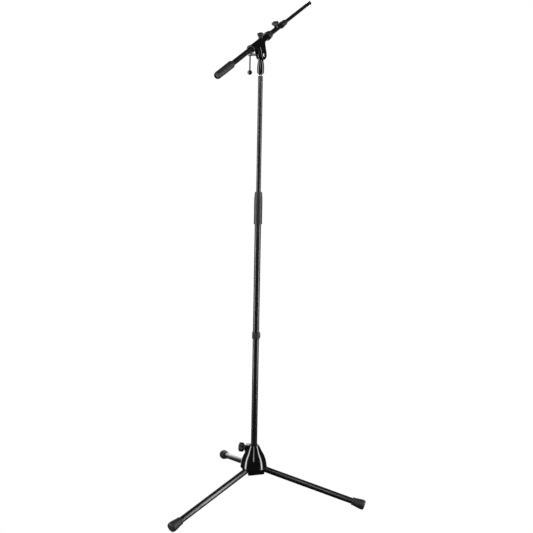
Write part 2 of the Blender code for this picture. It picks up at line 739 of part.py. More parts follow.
def make_boom_lock(boom):
    """The knob, screw and pad on top of the sleeve that hold the boom."""
    axis = empty("boom_lock_axis", boom, (BOOM_KNOB_X, 0, BOOM_OFFSET))
    pad_end = 11.0 * MM
    place(tube_pad("boom_lock_pad", CLAMP_SCREW, BOOM_RADIUS + 0.2 * MM, pad_end), axis)
    screw_end = 24.0 * MM
    screw = [(0, screw_end), (CLAMP_SCREW, screw_end), (CLAMP_SCREW, pad_end + GAP), (0, pad_end + GAP)]
    place(turned("boom_lock_screw", screw, "bright_steel", COARSE), axis)
    make_knob("boom_lock_knob", axis, 10.5 * MM, 12.5 * MM, BOOM_BOSS_TOP + GAP, screw_end, 5)


def make_boom(boom):
    """The main boom tube, and the grip and plug on its rear end."""
    along = outward(0)
    start = (0, 0, BOOM_OFFSET)
    main = tube("boom_tube", BOOM_RADIUS, BOOM_BORE, BOOM_REAR, BOOM_FRONT, "black_tube", MEDIUM)
    place(main, boom, start, along)
    hole = cylinder("boom_tube_cut", CLAMP_SCREW - 0.4 * MM, 10 * MM)
    place(hole, boom, (EXTENSION_KNOB_X, 0, BOOM_OFFSET + 7 * MM))
    boolean(main, hole, "DIFFERENCE")
    bore = BOOM_RADIUS + GAP
    grip = [
        (GRIP_RADIUS - 1 * MM, GRIP_FRONT),
        (GRIP_RADIUS, GRIP_FRONT - 1.5 * MM),
        (GRIP_RADIUS, GRIP_FRONT - 20 * MM),
        (GRIP_RADIUS - 0.5 * MM, GRIP_REAR + 6 * MM),
        (GRIP_RADIUS - 1.3 * MM, GRIP_REAR + 2 * MM),
        (GRIP_RADIUS - 2.6 * MM, GRIP_REAR),
        (bore, GRIP_REAR),
        (bore, GRIP_FRONT),
    ]
    place(turned("boom_grip", grip, "black_plastic", MEDIUM, ring=True), boom, start, along)
    inner = BOOM_BORE - GAP
    face = BOOM_REAR - GAP
    plug = [
        (0, BOOM_REAR + 14 * MM),
        (inner, BOOM_REAR + 14 * MM),
        (inner, face),
        (BOOM_RADIUS, face),
        (BOOM_RADIUS, face - 1.5 * MM),
        (BOOM_RADIUS - 2 * MM, face - 3 * MM),
        (0, face - 3 * MM),
    ]
    place(turned("boom_end_plug", plug, "black_plastic", MEDIUM), boom, start, along)


def make_extension_clamp(boom):
    """The nose collar of the main tube, and the saddle, screw, pad and knob that lock the extension."""
    along = outward(0)
    start = (0, 0, BOOM_OFFSET)
    over = BOOM_RADIUS + GAP
    inner = EXTENSION_RADIUS + GAP
    collar = [
        (inner, 192 * MM),
        (8.6 * MM, 192 * MM),
        (9.6 * MM, 190 * MM),
        (10.0 * MM, 174 * MM),
        (11.0 * MM, 170 * MM),
        (11.0 * MM, 156 * MM),
        (over, 156 * MM),
        (over, BOOM_FRONT + GAP),
        (inner, BOOM_FRONT + GAP),
    ]
    place(turned("extension_collar", collar, "black_plastic", MEDIUM, ring=True), boom, start, along)
    saddle = cylinder("extension_saddle", 7.0 * MM, 12 * MM, "black_casting", MEDIUM)
    place(saddle, boom, (EXTENSION_KNOB_X, 0, BOOM_OFFSET + SADDLE_TOP - 6 * MM))
    seat = cylinder("saddle_seat_cut", over, 60 * MM, steps=MEDIUM)
    place(seat, boom, (EXTENSION_KNOB_X, 0, BOOM_OFFSET), along)
    boolean(saddle, seat, "DIFFERENCE")
    hole = cylinder("saddle_hole_cut", CLAMP_SCREW - 0.4 * MM, 30 * MM)
    place(hole, boom, (EXTENSION_KNOB_X, 0, BOOM_OFFSET + 12 * MM))
    boolean(saddle, hole, "DIFFERENCE")
    axis = empty("extension_lock_axis", boom, (EXTENSION_KNOB_X, 0, BOOM_OFFSET))
    thread = CLAMP_SCREW - 0.7 * MM
    pad_end = 8.2 * MM
    place(tube_pad("extension_lock_pad", thread, EXTENSION_RADIUS + GAP, pad_end), axis)
    screw_end = 22.0 * MM
    screw = [(0, screw_end), (thread, screw_end), (thread, pad_end + GAP), (0, pad_end + GAP)]
    place(turned("extension_lock_screw", screw, "bright_steel", COARSE), axis)
    make_knob("extension_lock_knob", axis, 13.0 * MM, 12.5 * MM, SADDLE_TOP + GAP, screw_end, 5)


def make_extension(boom):
    """The thin inner tube, the bush on its hidden end, and the threaded tip with its flange."""
    along = outward(0)
    start = (0, 0, BOOM_OFFSET)
    rear = EXTENSION_REAR
    front = EXTENSION_FRONT
    inner = tube("extension_tube", EXTENSION_RADIUS, EXTENSION_BORE, rear, front, "black_tube", MEDIUM)
    place(inner, boom, start, along)
    fit = EXTENSION_RADIUS + 0.2 * MM
    bush = tube("extension_bush", BOOM_BORE - GAP, fit, rear, rear + 15 * MM, "white_nylon", COARSE)
    place(bush, boom, start, along)
    plug = EXTENSION_BORE - GAP
    shoulder = 7.0 * MM
    thread = 4.7 * MM
    flange_rear = FLANGE_FRONT - 2.7 * MM
    tip = [
        (0, TIP_FRONT),
        (thread - 0.8 * MM, TIP_FRONT),
        (thread, TIP_FRONT - 1 * MM),
        (thread, flange_rear - GAP),
        (shoulder, flange_rear - GAP),
        (shoulder, front + GAP),
        (plug, front + GAP),
        (plug, front - 20 * MM),
        (0, front - 20 * MM),
    ]
    place(turned("tip_stud", tip, "bright_steel", MEDIUM), boom, start, along)
    flange = tube("tip_flange", 11 * MM, thread + GAP, flange_rear, FLANGE_FRONT, "bright_steel", MEDIUM)
    place(flange, boom, start, along)


def make_stand():
    """All sub-parts on the column's axis."""
    stand = empty("stand_axis", None, (POLE_X, POLE_Y, 0))
    make_hub(stand)
    make_hub_bush(stand)
    make_base_clamp(stand)
    for side, azimuth in LEG_AZIMUTHS.items():
        make_leg(stand, side, azimuth)
    column = empty("column_axis", stand, (0, 0, HUB_Z))
    make_lower_column(column)
    make_clutch(column)
    make_upper_column(column)
    make_swivel_base(stand)
    slant = (0, -radians(BOOM_INCLINE), radians(BOOM_AZIMUTH))
    boom = empty("boom_axis", stand, (0, 0, HUB_Z + TILT_Z), slant)
    make_boom_clamp(boom)
    make_friction_discs(boom)
    turn = empty("tilt_screw_axis", boom, rotation=(0, radians(BOOM_INCLINE), 0))
    make_tilt_screw(boom, turn)
    make_tilt_bar(turn)
    make_boom_bushes(boom)
    make_boom_lock(boom)
    make_boom(boom)
    make_extension_clamp(boom)
    make_extension(boom)


clear_scene()
parts = new_collection("boom_microphone_stand")
cutters = new_collection("cutters")
floor_cutter = place(block("floor_cut", (2, 2, 0.1)), None, (0, 0, -0.05))
make_stand()
bpy.context.view_layer.update()
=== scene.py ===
"""The looks of a boom microphone stand: every visible piece as a fine surface with its own finish, built
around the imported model. Local sizes are millimetres in a place of the piece's own; meshes are metres in
the row frame."""

import json

import bpy
import numpy as np
from mathutils import Matrix, Vector


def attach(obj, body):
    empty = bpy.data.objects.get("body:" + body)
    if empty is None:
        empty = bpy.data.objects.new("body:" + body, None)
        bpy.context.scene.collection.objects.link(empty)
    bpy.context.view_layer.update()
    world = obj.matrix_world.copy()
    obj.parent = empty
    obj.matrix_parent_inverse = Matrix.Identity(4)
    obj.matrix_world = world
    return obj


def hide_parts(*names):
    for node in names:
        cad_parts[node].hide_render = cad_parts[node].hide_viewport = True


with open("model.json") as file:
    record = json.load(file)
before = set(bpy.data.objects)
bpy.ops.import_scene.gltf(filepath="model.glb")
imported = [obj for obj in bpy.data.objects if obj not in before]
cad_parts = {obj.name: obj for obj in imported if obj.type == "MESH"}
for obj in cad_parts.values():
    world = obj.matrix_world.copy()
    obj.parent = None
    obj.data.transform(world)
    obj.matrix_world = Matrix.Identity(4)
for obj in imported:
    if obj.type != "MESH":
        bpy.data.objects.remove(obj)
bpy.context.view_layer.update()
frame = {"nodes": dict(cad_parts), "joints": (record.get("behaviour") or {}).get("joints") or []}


# The studio: white paper under the stand and a white wall behind it, seen by the camera as plain white.
# Two tall strip softboxes stand left and right, a little forward of the stand, and a dimmer one hangs
# behind the camera. The rest of the room is dark, so that gloss black shows narrow bright streaks with
# black between them.

MM = 0.001
joints = {joint["name"]: joint for joint in frame["joints"]}
column_axis = np.array(joints["boom_pan"]["pos_m"]) * (1, 1, 0)


def linear(code):
    """An sRGB hex colour as linear red, green, blue and alpha: a straight line near black and a power of
    2.4 above."""
    value = np.array([int(code[i : i + 2], 16) for i in (1, 3, 5)]) / 255
    return (*np.where(value < 0.04045, value / 12.92, ((value + 0.055) / 1.055) ** 2.4), 1.0)


def node(tree, kind, settings=None, **inputs):
    """Adds one node. An input is named with _ for a space, and takes a number, a colour or another node's
    socket."""
    made = tree.nodes.new(kind)
    for key, value in (settings or {}).items():
        setattr(made, key, value)
    for key, value in inputs.items():
        socket = made.inputs[int(key[1:])] if key[1:].isdigit() else made.inputs[key.replace("_", " ")]
        if isinstance(value, bpy.types.NodeSocket):
            tree.links.new(value, socket)
        else:
            socket.default_value = value
    return made


# Matt white background paper, so strongly lit that it shows no shadow.
paper = bpy.data.materials.new("lit_white_paper")
paper.use_nodes = True
tree = paper.node_tree
tree.nodes.clear()
glow = node(tree, "ShaderNodeEmission", Color=linear("#ffffff"), Strength=1.0)
node(tree, "ShaderNodeOutputMaterial", Surface=glow.outputs[0])

FLOOR_FRONT = 1.1
FLOOR_BACK = 9.0
FLOOR_SIDE = 7.0
x, y = column_axis[:2]
corners = [
    (x - FLOOR_SIDE, y - FLOOR_FRONT, 0),
    (x + FLOOR_SIDE, y - FLOOR_FRONT, 0),
    (x + FLOOR_SIDE, y + FLOOR_BACK, 0),
    (x - FLOOR_SIDE, y + FLOOR_BACK, 0),
]
floor_mesh = bpy.data.meshes.new("paper_sweep")
floor_mesh.from_pydata(corners, [], [(0, 1, 2, 3)])
floor_mesh.materials.append(paper)
floor = bpy.data.objects.new("paper_sweep", floor_mesh)
bpy.context.scene.collection.objects.link(floor)
floor.visible_glossy = False
floor.visible_diffuse = False
floor.visible_shadow = False

# The room: a round patch of lit white wall straight behind the stand, about 50 degrees wide with a soft
# edge that is trimmed a little below, and dim elsewhere. Seen straight, it is white all round.
ROOM_DIM = 0.035
WALL_LIT = 2.4
world = bpy.data.worlds.new("white_room")
bpy.context.scene.world = world
world.use_nodes = True
tree = world.node_tree
tree.nodes.clear()
toward = node(tree, "ShaderNodeTexCoord").outputs["Generated"]
split = node(tree, "ShaderNodeSeparateXYZ", Vector=toward)
soft = {"interpolation_type": "SMOOTHSTEP"}
behind = node(tree, "ShaderNodeMapRange", soft, Value=split.outputs["Y"], From_Min=0.84, From_Max=0.94)
above = node(tree, "ShaderNodeMapRange", soft, Value=split.outputs["Z"], From_Min=-0.62, From_Max=-0.5)
wall = node(tree, "ShaderNodeMath", {"operation": "MULTIPLY"}, _0=behind.outputs[0], _1=above.outputs[0])
level = node(tree, "ShaderNodeMapRange", Value=wall.outputs[0], To_Min=ROOM_DIM, To_Max=WALL_LIT)
seen = node(tree, "ShaderNodeLightPath").outputs["Is Camera Ray"]
amount = node(tree, "ShaderNodeMix", {"data_type": "FLOAT"}, _0=seen, _2=level.outputs[0], _3=1.0)
room = node(tree, "ShaderNodeBackground", Color=linear("#ffffff"), Strength=amount.outputs[0])
node(tree, "ShaderNodeOutputWorld", Surface=room.outputs[0])

# name, angle round the column from the camera's side in degrees, distance, lowest and highest edge,
# width, radiance
SOFTBOXES = [
    ("strip_left", -73.0, 2.3, -0.40, 3.2, 0.55, 15.0),
    ("strip_right", 73.0, 2.3, -0.40, 3.2, 0.55, 15.0),
    ("strip_front", -1.0, 4.6, 1.45, 9.0, 0.70, 9.0),
]
for name, angle, distance, low, high, width, radiance in SOFTBOXES:
    turn = np.radians(angle)
    lamp = bpy.data.lights.new(name, "AREA")
    lamp.shape = "RECTANGLE"
    lamp.size = width
    lamp.size_y = high - low
    lamp.energy = radiance * np.pi * width * (high - low)
    box = bpy.data.objects.new(name, lamp)
    bpy.context.scene.collection.objects.link(box)
    away = Vector((np.sin(turn), -np.cos(turn), 0))
    box.location = Vector(column_axis) + away * distance + Vector((0, 0, (low + high) / 2))
    box.rotation_euler = away.to_track_quat("Z", "Y").to_euler()

# The camera stands 3.5 m in front of the column at eye height and looks a little down. Its turns are in
# degrees.
CAMERA_AWAY = 3.499
CAMERA_HEIGHT = 1.5066
LENS_LENGTH = 70.85
CAMERA_TURN = (0.52, 10.86, 1.11)
yaw, pitch, roll = np.radians(CAMERA_TURN)
ahead = np.array([np.sin(yaw) * np.cos(pitch), np.cos(yaw) * np.cos(pitch), -np.sin(pitch)])
right = np.array([np.cos(yaw), -np.sin(yaw), 0])
up = np.cross(right, ahead)
right, up = right * np.cos(roll) + up * np.sin(roll), up * np.cos(roll) - right * np.sin(roll)
lens = bpy.data.cameras.new("camera")
lens.sensor_width = 36.0
lens.lens = LENS_LENGTH
camera = bpy.data.objects.new("camera", lens)
bpy.context.scene.collection.objects.link(camera)
turned_to = Matrix(np.column_stack([right, up, -ahead]).tolist()).to_4x4()
camera.matrix_world = Matrix.Translation(column_axis + (0, -CAMERA_AWAY, CAMERA_HEIGHT)) @ turned_to
bpy.context.scene.camera = camera
bpy.context.scene.view_settings.view_transform = "Standard"


# The hub: one zinc die casting, a bell that carries the column, with three hollow corners below it that
# hold the legs' pins and a square boss on its side for the clamp. It is stove-enamelled in gloss black.


def unit(vector):
    return np.asarray(vector, float) / np.linalg.norm(vector)


def facing(origin, axis, top):
    """A place: its origin in metres, and three axes. Local z runs along the axis, and local x as near to
    top as it can."""
    z = unit(axis)
    x = unit(np.asarray(top, float) - z * np.dot(top, z))
    return np.asarray(origin, float), np.column_stack([x, np.cross(z, x), z])


def raised(place, z):
    """The same axes, with the origin moved along local z by millimetres."""
    origin, axes = place
    return origin + axes @ np.array([0.0, 0.0, z]) * MM, axes


def extent(name, place):
    """The lowest and highest local coordinates of a CAD node in a place, in millimetres."""
    origin, axes = place
    points = np.array([vertex.co for vertex in frame["nodes"][name].data.vertices])
    local = (points - origin) @ axes / MM
    return local.min(0), local.max(0)


def skin(place, rows, ring=False):
    """A closed shell over rows of points, which run round the piece. Each row joins the next; the last
    joins the first in a ring, and otherwise the first and last rows close on a point at their middle.
    Faces point out."""
    rows = np.asarray(rows, float)
    count, around = rows.shape[:2]
    points = rows.reshape(-1, 3)
    i = np.arange(count if ring else count - 1)[:, None]
    j = np.arange(around)[None, :]
    after, beside = (i + 1) % count, (j + 1) % around
    quads = np.stack(
        [i * around + j, i * around + beside, after * around + beside, after * around + j], -1
    ).reshape(-1, 4)
    faces = [quads]
    corners = [quads[:, [0, 1, 2]], quads[:, [0, 2, 3]]]
    if not ring:
        points = np.concatenate([points, rows[:1].mean(1), rows[-1:].mean(1)])
        j = np.arange(around)
        end = (count - 1) * around
        first = np.stack([(j + 1) % around, j, np.full(around, count * around)], 1)
        last = np.stack([end + j, end + (j + 1) % around, np.full(around, count * around + 1)], 1)
        faces += [first, last]
        corners += [first, last]
    a, b, c = np.moveaxis(points[np.concatenate(corners)], 1, 0)
    outward = np.einsum("ij,ij->", a, np.cross(b, c)) > 0
    origin, axes = place
    faces = [block if outward else block[:, ::-1] for block in faces]
    return points @ axes.T * MM + origin, faces


def rounded(profile, radius, steps=5):
    """A profile with its corners rounded: each inner corner gives way to a parabola that leaves one side
    the radius before the corner, or at half of a shorter side, and joins the next side as far after
    it."""
    profile = np.asarray(profile, float)
    corner = profile[1:-1]
    before, after = profile[:-2] - corner, profile[2:] - corner
    length_before, length_after = np.linalg.norm(before, axis=1), np.linalg.norm(after, axis=1)
    reach = np.minimum(radius, 0.49 * np.minimum(length_before, length_after))
    start = corner + before * (reach / length_before)[:, None]
    stop = corner + after * (reach / length_after)[:, None]
    t = np.linspace(0, 1, steps)[None, :, None]
    bends = (1 - t) ** 2 * start[:, None] + 2 * t * (1 - t) * corner[:, None] + t**2 * stop[:, None]
    return np.concatenate([profile[:1], bends.reshape(-1, 2), profile[-1:]])


def flowing(points, steps):
    """A smooth curve through points: between two of them a cubic whose slope at each is that of its
    neighbours."""
    points = np.asarray(points, float)
    ends = np.concatenate([2 * points[:1] - points[1:2], points, 2 * points[-1:] - points[-2:-1]])
    p0, p1, p2, p3 = ends[:-3, None], ends[1:-2, None], ends[2:-1, None], ends[3:, None]
    t = (np.arange(steps) / steps)[None, :, None]
    square = p0 - 2.5 * p1 + 2 * p2 - p3 / 2
    cube = 1.5 * (p1 - p2) + (p3 - p0) / 2
    curve = p1 + t * (p2 - p0) / 2 + t**2 * square + t**3 * cube
    return np.concatenate([curve.reshape(-1, points.shape[1]), points[-1:]])


def angles(sides):
    return np.arange(sides) * 2 * np.pi / sides


def turned(place, profile, sides=96, ring=False):
    """A turned shell: each (height, radius) of the profile, carried round local z."""
    height, radius = np.asarray(profile, float).T
    turn = angles(sides)
    rows = np.stack(
        [radius[:, None] * np.cos(turn), radius[:, None] * np.sin(turn), height[:, None] + 0 * turn], -1
    )
    return skin(place, rows, ring)


def pipe(place, low, high, outer, bore, edge=0.4, sides=96):
    """A tube with its four edges broken, as a ring whose profile runs up the outside and down the
    bore."""
    middle = (low + high) / 2
    profile = [(middle, outer), (high, outer), (high, bore), (low, bore), (low, outer), (middle, outer)]
    return turned(place, rounded(profile, edge)[:-1], sides, ring=True)


def inset(outline, distance):
    """A closed outline moved inwards: each corner slides along the bisector of its two sides, far enough
    for both sides to move by the distance. The outline runs anticlockwise."""
    side = np.roll(outline, -1, 0) - outline
    side /= np.linalg.norm(side, axis=1)[:, None]
    after = np.stack([-side[:, 1], side[:, 0]], 1)
    before = np.roll(after, 1, 0)
    together = (before + after) / (1 + np.einsum("ij,ij->i", before, after))[:, None]
    return outline + together * np.asarray(distance).reshape(-1, 1)


def rounded_loop(outline, radius, steps=6):
    """A closed outline with its corners rounded as in a profile."""
    outline = np.asarray(outline, float)
    whole = np.concatenate([outline[-1:], outline, outline[:1]])
    return rounded(whole, radius, steps)[1:-1]


def finish(name, dark, light, roughness, patch, grain, depth, **sockets):
    """A coating or moulding. Two shades and two roughnesses drift over patches of a size, and the surface
    rises and falls by a depth over a grain of a size, all in millimetres. Further values go on the
    shader's sockets."""
    material = bpy.data.materials.new(name)
    material.use_nodes = True
    tree = material.node_tree
    tree.nodes.clear()
    where = node(tree, "ShaderNodeTexCoord").outputs["Object"]
    cloud = node(tree, "ShaderNodeTexNoise", Vector=where, Scale=1 / (patch * MM), Detail=4.0)
    shade = node(
        tree, "ShaderNodeMix", {"data_type": "RGBA"}, _0=cloud.outputs[0], _6=linear(dark),
        _7=linear(light),
    )
    gloss = node(
        tree, "ShaderNodeMapRange", Value=cloud.outputs[0], From_Min=0.3, From_Max=0.7,
        To_Min=roughness[0], To_Max=roughness[1],
    )
    pores = node(tree, "ShaderNodeTexNoise", Vector=where, Scale=1 / (grain * MM), Detail=2.0)
    relief = node(tree, "ShaderNodeBump", Strength=1.0, Distance=depth * MM, Height=pores.outputs[0])
    shader = node(
        tree, "ShaderNodeBsdfPrincipled", Base_Color=shade.outputs[2], Roughness=gloss.outputs[0],
        Normal=relief.outputs[0], **sockets,
    )
    node(tree, "ShaderNodeOutputMaterial", Surface=shader.outputs[0])
    return material


def piece(name, shells, body, replaced, material, sharp=34.0, second=(), second_material=None):
    """One object from its shells: smooth but for edges sharper than an angle, riding on its body in its
    finish. The second shells take a second finish."""
    faces_before = sum(len(block) for shell in shells for block in shell[1])
    shells = [*shells, *second]
    points = np.concatenate([shell[0] for shell in shells])
    starts = np.cumsum([0] + [len(shell[0]) for shell in shells])
    faces = [
        face
        for shell, start in zip(shells, starts)
        for block in shell[1]
        for face in (block + start).tolist()
    ]
    mesh = bpy.data.meshes.new(name)
    mesh.from_pydata(points.tolist(), [], faces)
    mesh.shade_smooth()
    mesh.set_sharp_from_angle(angle=np.radians(sharp))
    mesh.materials.append(material)
    if second_material:
        mesh.materials.append(second_material)
        index = (np.arange(len(faces)) >= faces_before).astype(np.int32)
        mesh.polygons.foreach_set("material_index", index)
    made = bpy.data.objects.new(name, mesh)
    bpy.context.scene.collection.objects.link(made)
    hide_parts(*replaced)
    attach(made, body)
    return made


def place_of_leg(side):
    """A leg's place: its origin where the tube's middle line passes over the pin, z out along the leg, x
    on top."""
    pin = np.array(joints[f"leg_{side}_fold"]["pos_m"])
    tube = np.array([vertex.co for vertex in frame["nodes"][f"leg_tube_{side}"].data.vertices])
    tube = np.unique(np.round(tube, 6), axis=0)
    middle = tube.mean(0)
    along = np.linalg.svd(tube - middle, full_matrices=False)[2][0]
    along = along * np.sign(np.dot(along, middle - pin))
    return facing(middle + along * np.dot(pin - middle, along), along, (0, 0, 1))


# Stoved gloss enamel over a zinc casting: near black and mirror-like, with a slow wave from the casting
# under it.
cast_enamel = finish(
    "stoved_gloss_enamel_on_zinc", "#070708", "#0c0c0d", (0.09, 0.14), patch=14.0, grain=6.0, depth=0.008,
    IOR=1.5
)

column = (column_axis, np.eye(3))
hub_low, hub_high = extent("base_hub", column)
hub_foot = raised(column, hub_low[2])
# Heights above the hub's foot: where the legs' middle lines meet on the column's axis, and the bell's
# rim.
LEG_MEET = 26.0
HUB_RIM = LEG_MEET - 5.0
HUB_TOP = hub_high[2] - hub_low[2]
HUB_BORE = 13.0
SLOT_HALF = 11.6
RIM_RADIUS = 46.8
BELL = [
    (HUB_TOP, 17.5), (HUB_TOP - 3.4, 19.5), (LEG_MEET + 55.0, 27.3), (LEG_MEET + 43.5, 34.0),
    (LEG_MEET + 33.0, 39.0), (LEG_MEET + 17.0, 43.9), (HUB_RIM + 3.0, RIM_RADIUS), (HUB_RIM, RIM_RADIUS),
]
WALL_TOP = LEG_MEET + 28.0
BELL_WALL = 3.2

leg_places = {side: place_of_leg(side) for side in ("right", "left", "back")}
leg_slope = np.arcsin(-leg_places["right"][1][2, 2])
leg_azimuths = {side: np.arctan2(axes[1, 2], axes[0, 2]) for side, (_, axes) in leg_places.items()}


def bell(place, sides=288):
    """The bell: its profile is carried round local z, out along the smooth side, back under the rim and
    up the inside. Near a leg the rim lifts to clear the tube: to the height of the leg's own cylinder
    above that point."""
    side_curve = flowing(BELL, 10)
    shoulder = rounded([(HUB_TOP, HUB_BORE), (HUB_TOP, 17.0), (HUB_TOP - 0.6, 17.9)], 0.8)
    outer = np.concatenate([[(HUB_TOP, HUB_BORE)], shoulder, side_curve[4:]])
    inner = side_curve[::-1][:-24] - (0, BELL_WALL)
    inner[0, 0] = HUB_RIM
    core = [(LEG_MEET + 48.0, 17.0), (16.0, 16.5), (14.0, HUB_BORE)]
    profile = np.concatenate([outer, inner, core])
    height, radius = profile.T
    turn = angles(sides)
    lift = np.zeros(sides)
    for azimuth in leg_azimuths.values():
        apart = (turn - azimuth + np.pi) % (2 * np.pi) - np.pi
        beside, out = BELL[-1][1] * np.sin(apart), BELL[-1][1] * np.cos(apart)
        under = (np.abs(beside) < SLOT_HALF) & (out > 0)
        rise = np.sqrt(np.maximum(SLOT_HALF**2 - beside**2, 0)) / np.cos(leg_slope)
        arch = LEG_MEET - out * np.tan(leg_slope) + rise
        lift = np.where(under, np.maximum(lift, arch - HUB_RIM), lift)
    is_wall = (height < WALL_TOP) & (radius > 20)
    near = np.where(is_wall, np.clip((WALL_TOP - height) / (WALL_TOP - HUB_RIM), 0, 1) ** 3, 0)
    tall = height[:, None] + near[:, None] * lift
    bell_at = side_curve[::-1].T
    drawn_in = np.interp(tall, *bell_at) - np.interp(height, *bell_at)[:, None]
    wide = radius[:, None] + np.where(is_wall[:, None], drawn_in, 0)
    rows = np.stack([wide * np.cos(turn), wide * np.sin(turn), tall], -1)
    return skin(place, rows, ring=True)


CORNER_FLAT = 34.0
CORNER_HALF = 30.0
CORNER_ROOT = 17.0
CORNER_WALL = 3.5


def hub_corner(place):
    """One hollow corner of the casting, a cup that is open below. In plan it runs from the bore out along
    one leg's slot, across the narrow end, along the wide flat, and back along the next leg's slot. Rows
    run down the outside, where the wide flat narrows towards the foot, round the lower edge and up the
    inside."""
    leg = np.array([np.cos(np.pi / 3), np.sin(np.pi / 3)])
    toward = np.array([leg[1], -leg[0]])
    shapes = [
        (5.0, 0.0, 2.2, 38.0),
        (0.0, 0.0, 2.2, 20.0),
        (0.0, 0.0, 2.2, 10.0),
        (0.8, 0.0, 2.4, 6.0),
        (2.2, 0.0, 2.8, 2.2),
        (2.6, 0.4, 2.6, 1.2),
        (2.9, 1.2, 2.0, 0.7),
        (3.0, CORNER_WALL - 0.6, 0.9, 0.7),
        (2.9, CORNER_WALL, 0.6, 1.2),
        (1.0, CORNER_WALL + 0.4, 0.6, 10.0),
        (0.4, CORNER_WALL + 0.6, 0.6, 22.0),
    ]
    rows = []
    for narrower, distance, radius, height in shapes:
        corner = np.array([CORNER_FLAT, CORNER_HALF - narrower])
        end = leg * np.dot(corner, leg) + toward * SLOT_HALF
        root = leg * CORNER_ROOT + toward * SLOT_HALF
        half = np.array([corner, end, root])
        outline = np.concatenate([half[::-1] * (1, -1), half])
        loop = rounded_loop(inset(outline, distance), radius)
        rows.append(np.column_stack([loop, np.full(len(loop), height)]))
    return skin(place, rows)


def as_object(name, shell):
    mesh = bpy.data.meshes.new(name)
    mesh.from_pydata(shell[0].tolist(), [], [face for block in shell[1] for face in block.tolist()])
    made = bpy.data.objects.new(name, mesh)
    bpy.context.scene.collection.objects.link(made)
    return made


def drilled(shell, drills):
    """A shell with holes cut through it by the drills' shells."""
    body = as_object("body", shell)
    tools = [as_object("drill", drill) for drill in drills]
    for tool in tools:
        cut = body.modifiers.new("hole", "BOOLEAN")
        cut.operation = "DIFFERENCE"
        cut.solver = "MANIFOLD"
        cut.object = tool
    cut_mesh = bpy.data.meshes.new_from_object(body.evaluated_get(bpy.context.evaluated_depsgraph_get()))
    points = np.array([vertex.co for vertex in cut_mesh.vertices])
    faces = [np.array([polygon.vertices[:]]) for polygon in cut_mesh.polygons]
    for used in [body, *tools]:
        bpy.data.objects.remove(used)
    bpy.data.meshes.remove(cut_mesh)
    return points, faces


def hinge_place(side):
    """The place of a leg's hinge: its origin on the pin, and z along it."""
    joint = joints[f"leg_{side}_fold"]
    return facing(joint["pos_m"], joint["axis"], (0, 0, 1))


# Each pin's hole is drilled from one side: along the pin, from outside the casting to inside the slot.
PIN_RADIUS = 2.5
PIN_HOLE = 2.9
HOLE_FROM = -40.0
HOLE_TO = -5.0
shells = [bell(hub_foot)]
drills = [
    turned(hinge_place(side), [(HOLE_FROM, PIN_HOLE), (HOLE_TO, PIN_HOLE)], 32)
    for side in leg_places
]
for azimuth in leg_azimuths.values():
    out = azimuth + np.pi / 3
    corner_place = facing(hub_foot[0], (0, 0, 1), (np.cos(out), np.sin(out), 0))
    shells.append(drilled(hub_corner(corner_place), drills))

# The clamp's boss: a block with soft edges, level with the hub's top, whose outer face takes the screw.
clamp_point = np.array(joints["base_clamp_turn"]["pos_m"])
clamp_out = -np.array(joints["base_clamp_turn"]["axis"])
clamp_out = clamp_out * np.sign(np.dot(clamp_out, clamp_point - column_axis))
clamp_axis = clamp_point * (0, 0, 1) + column_axis
clamp = facing(clamp_axis, clamp_out, (0, 0, 1))
BOSS_HALF = 14.0
BOSS_HEIGHT = 25.0
BOSS_FACE = 31.0
BOSS_ROOT = 9.0
BOSS_CORNER = 3.0
boss_top = (hub_high[2] * MM - clamp_axis[2]) / MM
boss_low = boss_top - BOSS_HEIGHT
boss_outline = np.array(
    [(boss_top, BOSS_HALF), (boss_low, BOSS_HALF), (boss_low, -BOSS_HALF), (boss_top, -BOSS_HALF)]
)


def prism(place, outline, corner, sections):
    """A straight block: its outline at each (distance inwards, height) of the sections, with rounded
    corners."""
    rows = []
    for distance, height in sections:
        loop = rounded_loop(inset(outline, distance), corner)
        rows.append(np.column_stack([loop, np.full(len(loop), height)]))
    return skin(place, rows)


sections = [
    (0, BOSS_ROOT), (0, BOSS_FACE - 2.4), (0.3, BOSS_FACE - 1.2), (1.0, BOSS_FACE - 0.3),
    (2.2, BOSS_FACE),
]
shells.append(prism(clamp, boss_outline, BOSS_CORNER, sections))
# A low round pad stands on the boss's face round the screw.
pad = [(BOSS_FACE - 1, 7.4), (BOSS_FACE + 0.6, 7.4), (BOSS_FACE + 0.6, 4.4), (BOSS_FACE - 1, 4.4)]
shells.append(turned(clamp, pad, 64, ring=True))
piece("base_hub_casting", shells, "base", ["base_hub"], cast_enamel)


# The hub's liner is turned from natural nylon. The clamp is a moulded star knob on a plated screw, which
# presses a nylon pad on the column.

# Natural nylon: a soft translucent white with a slightly waxy shine.
natural_nylon = finish(
    "natural_nylon", "#cfcdc2", "#dcdad0", (0.38, 0.5), patch=6.0, grain=1.2, depth=0.01,
    Subsurface_Weight=0.15, Subsurface_Scale=0.002,
)
# Bright nickel plate on turned steel: warm grey mirror, with the faint unevenness of the plating bath.
nickel_plate = finish(
    "bright_nickel_plate", "#b9b5ad", "#d2cfc8", (0.16, 0.28), patch=3.0, grain=0.8, depth=0.004,
    Metallic=1.0
)
# Glass-filled nylon from a spark-eroded mould: an even fine grain, charcoal where light rakes it. The
# real grain of 0.1 mm is drawn at 0.6 mm, which is the finest that shows.
moulded_nylon = finish(
    "spark_eroded_moulded_nylon", "#0d0e0e", "#141515", (0.44, 0.54), patch=4.0, grain=0.6, depth=0.006
)


def coat(names, material):
    """Gives CAD nodes that stay in place their finish."""
    for name in names:
        slots = frame["nodes"][name].data.materials
        slots.clear()
        slots.append(material)


coat(["hub_bush", "base_clamp_pad"], natural_nylon)


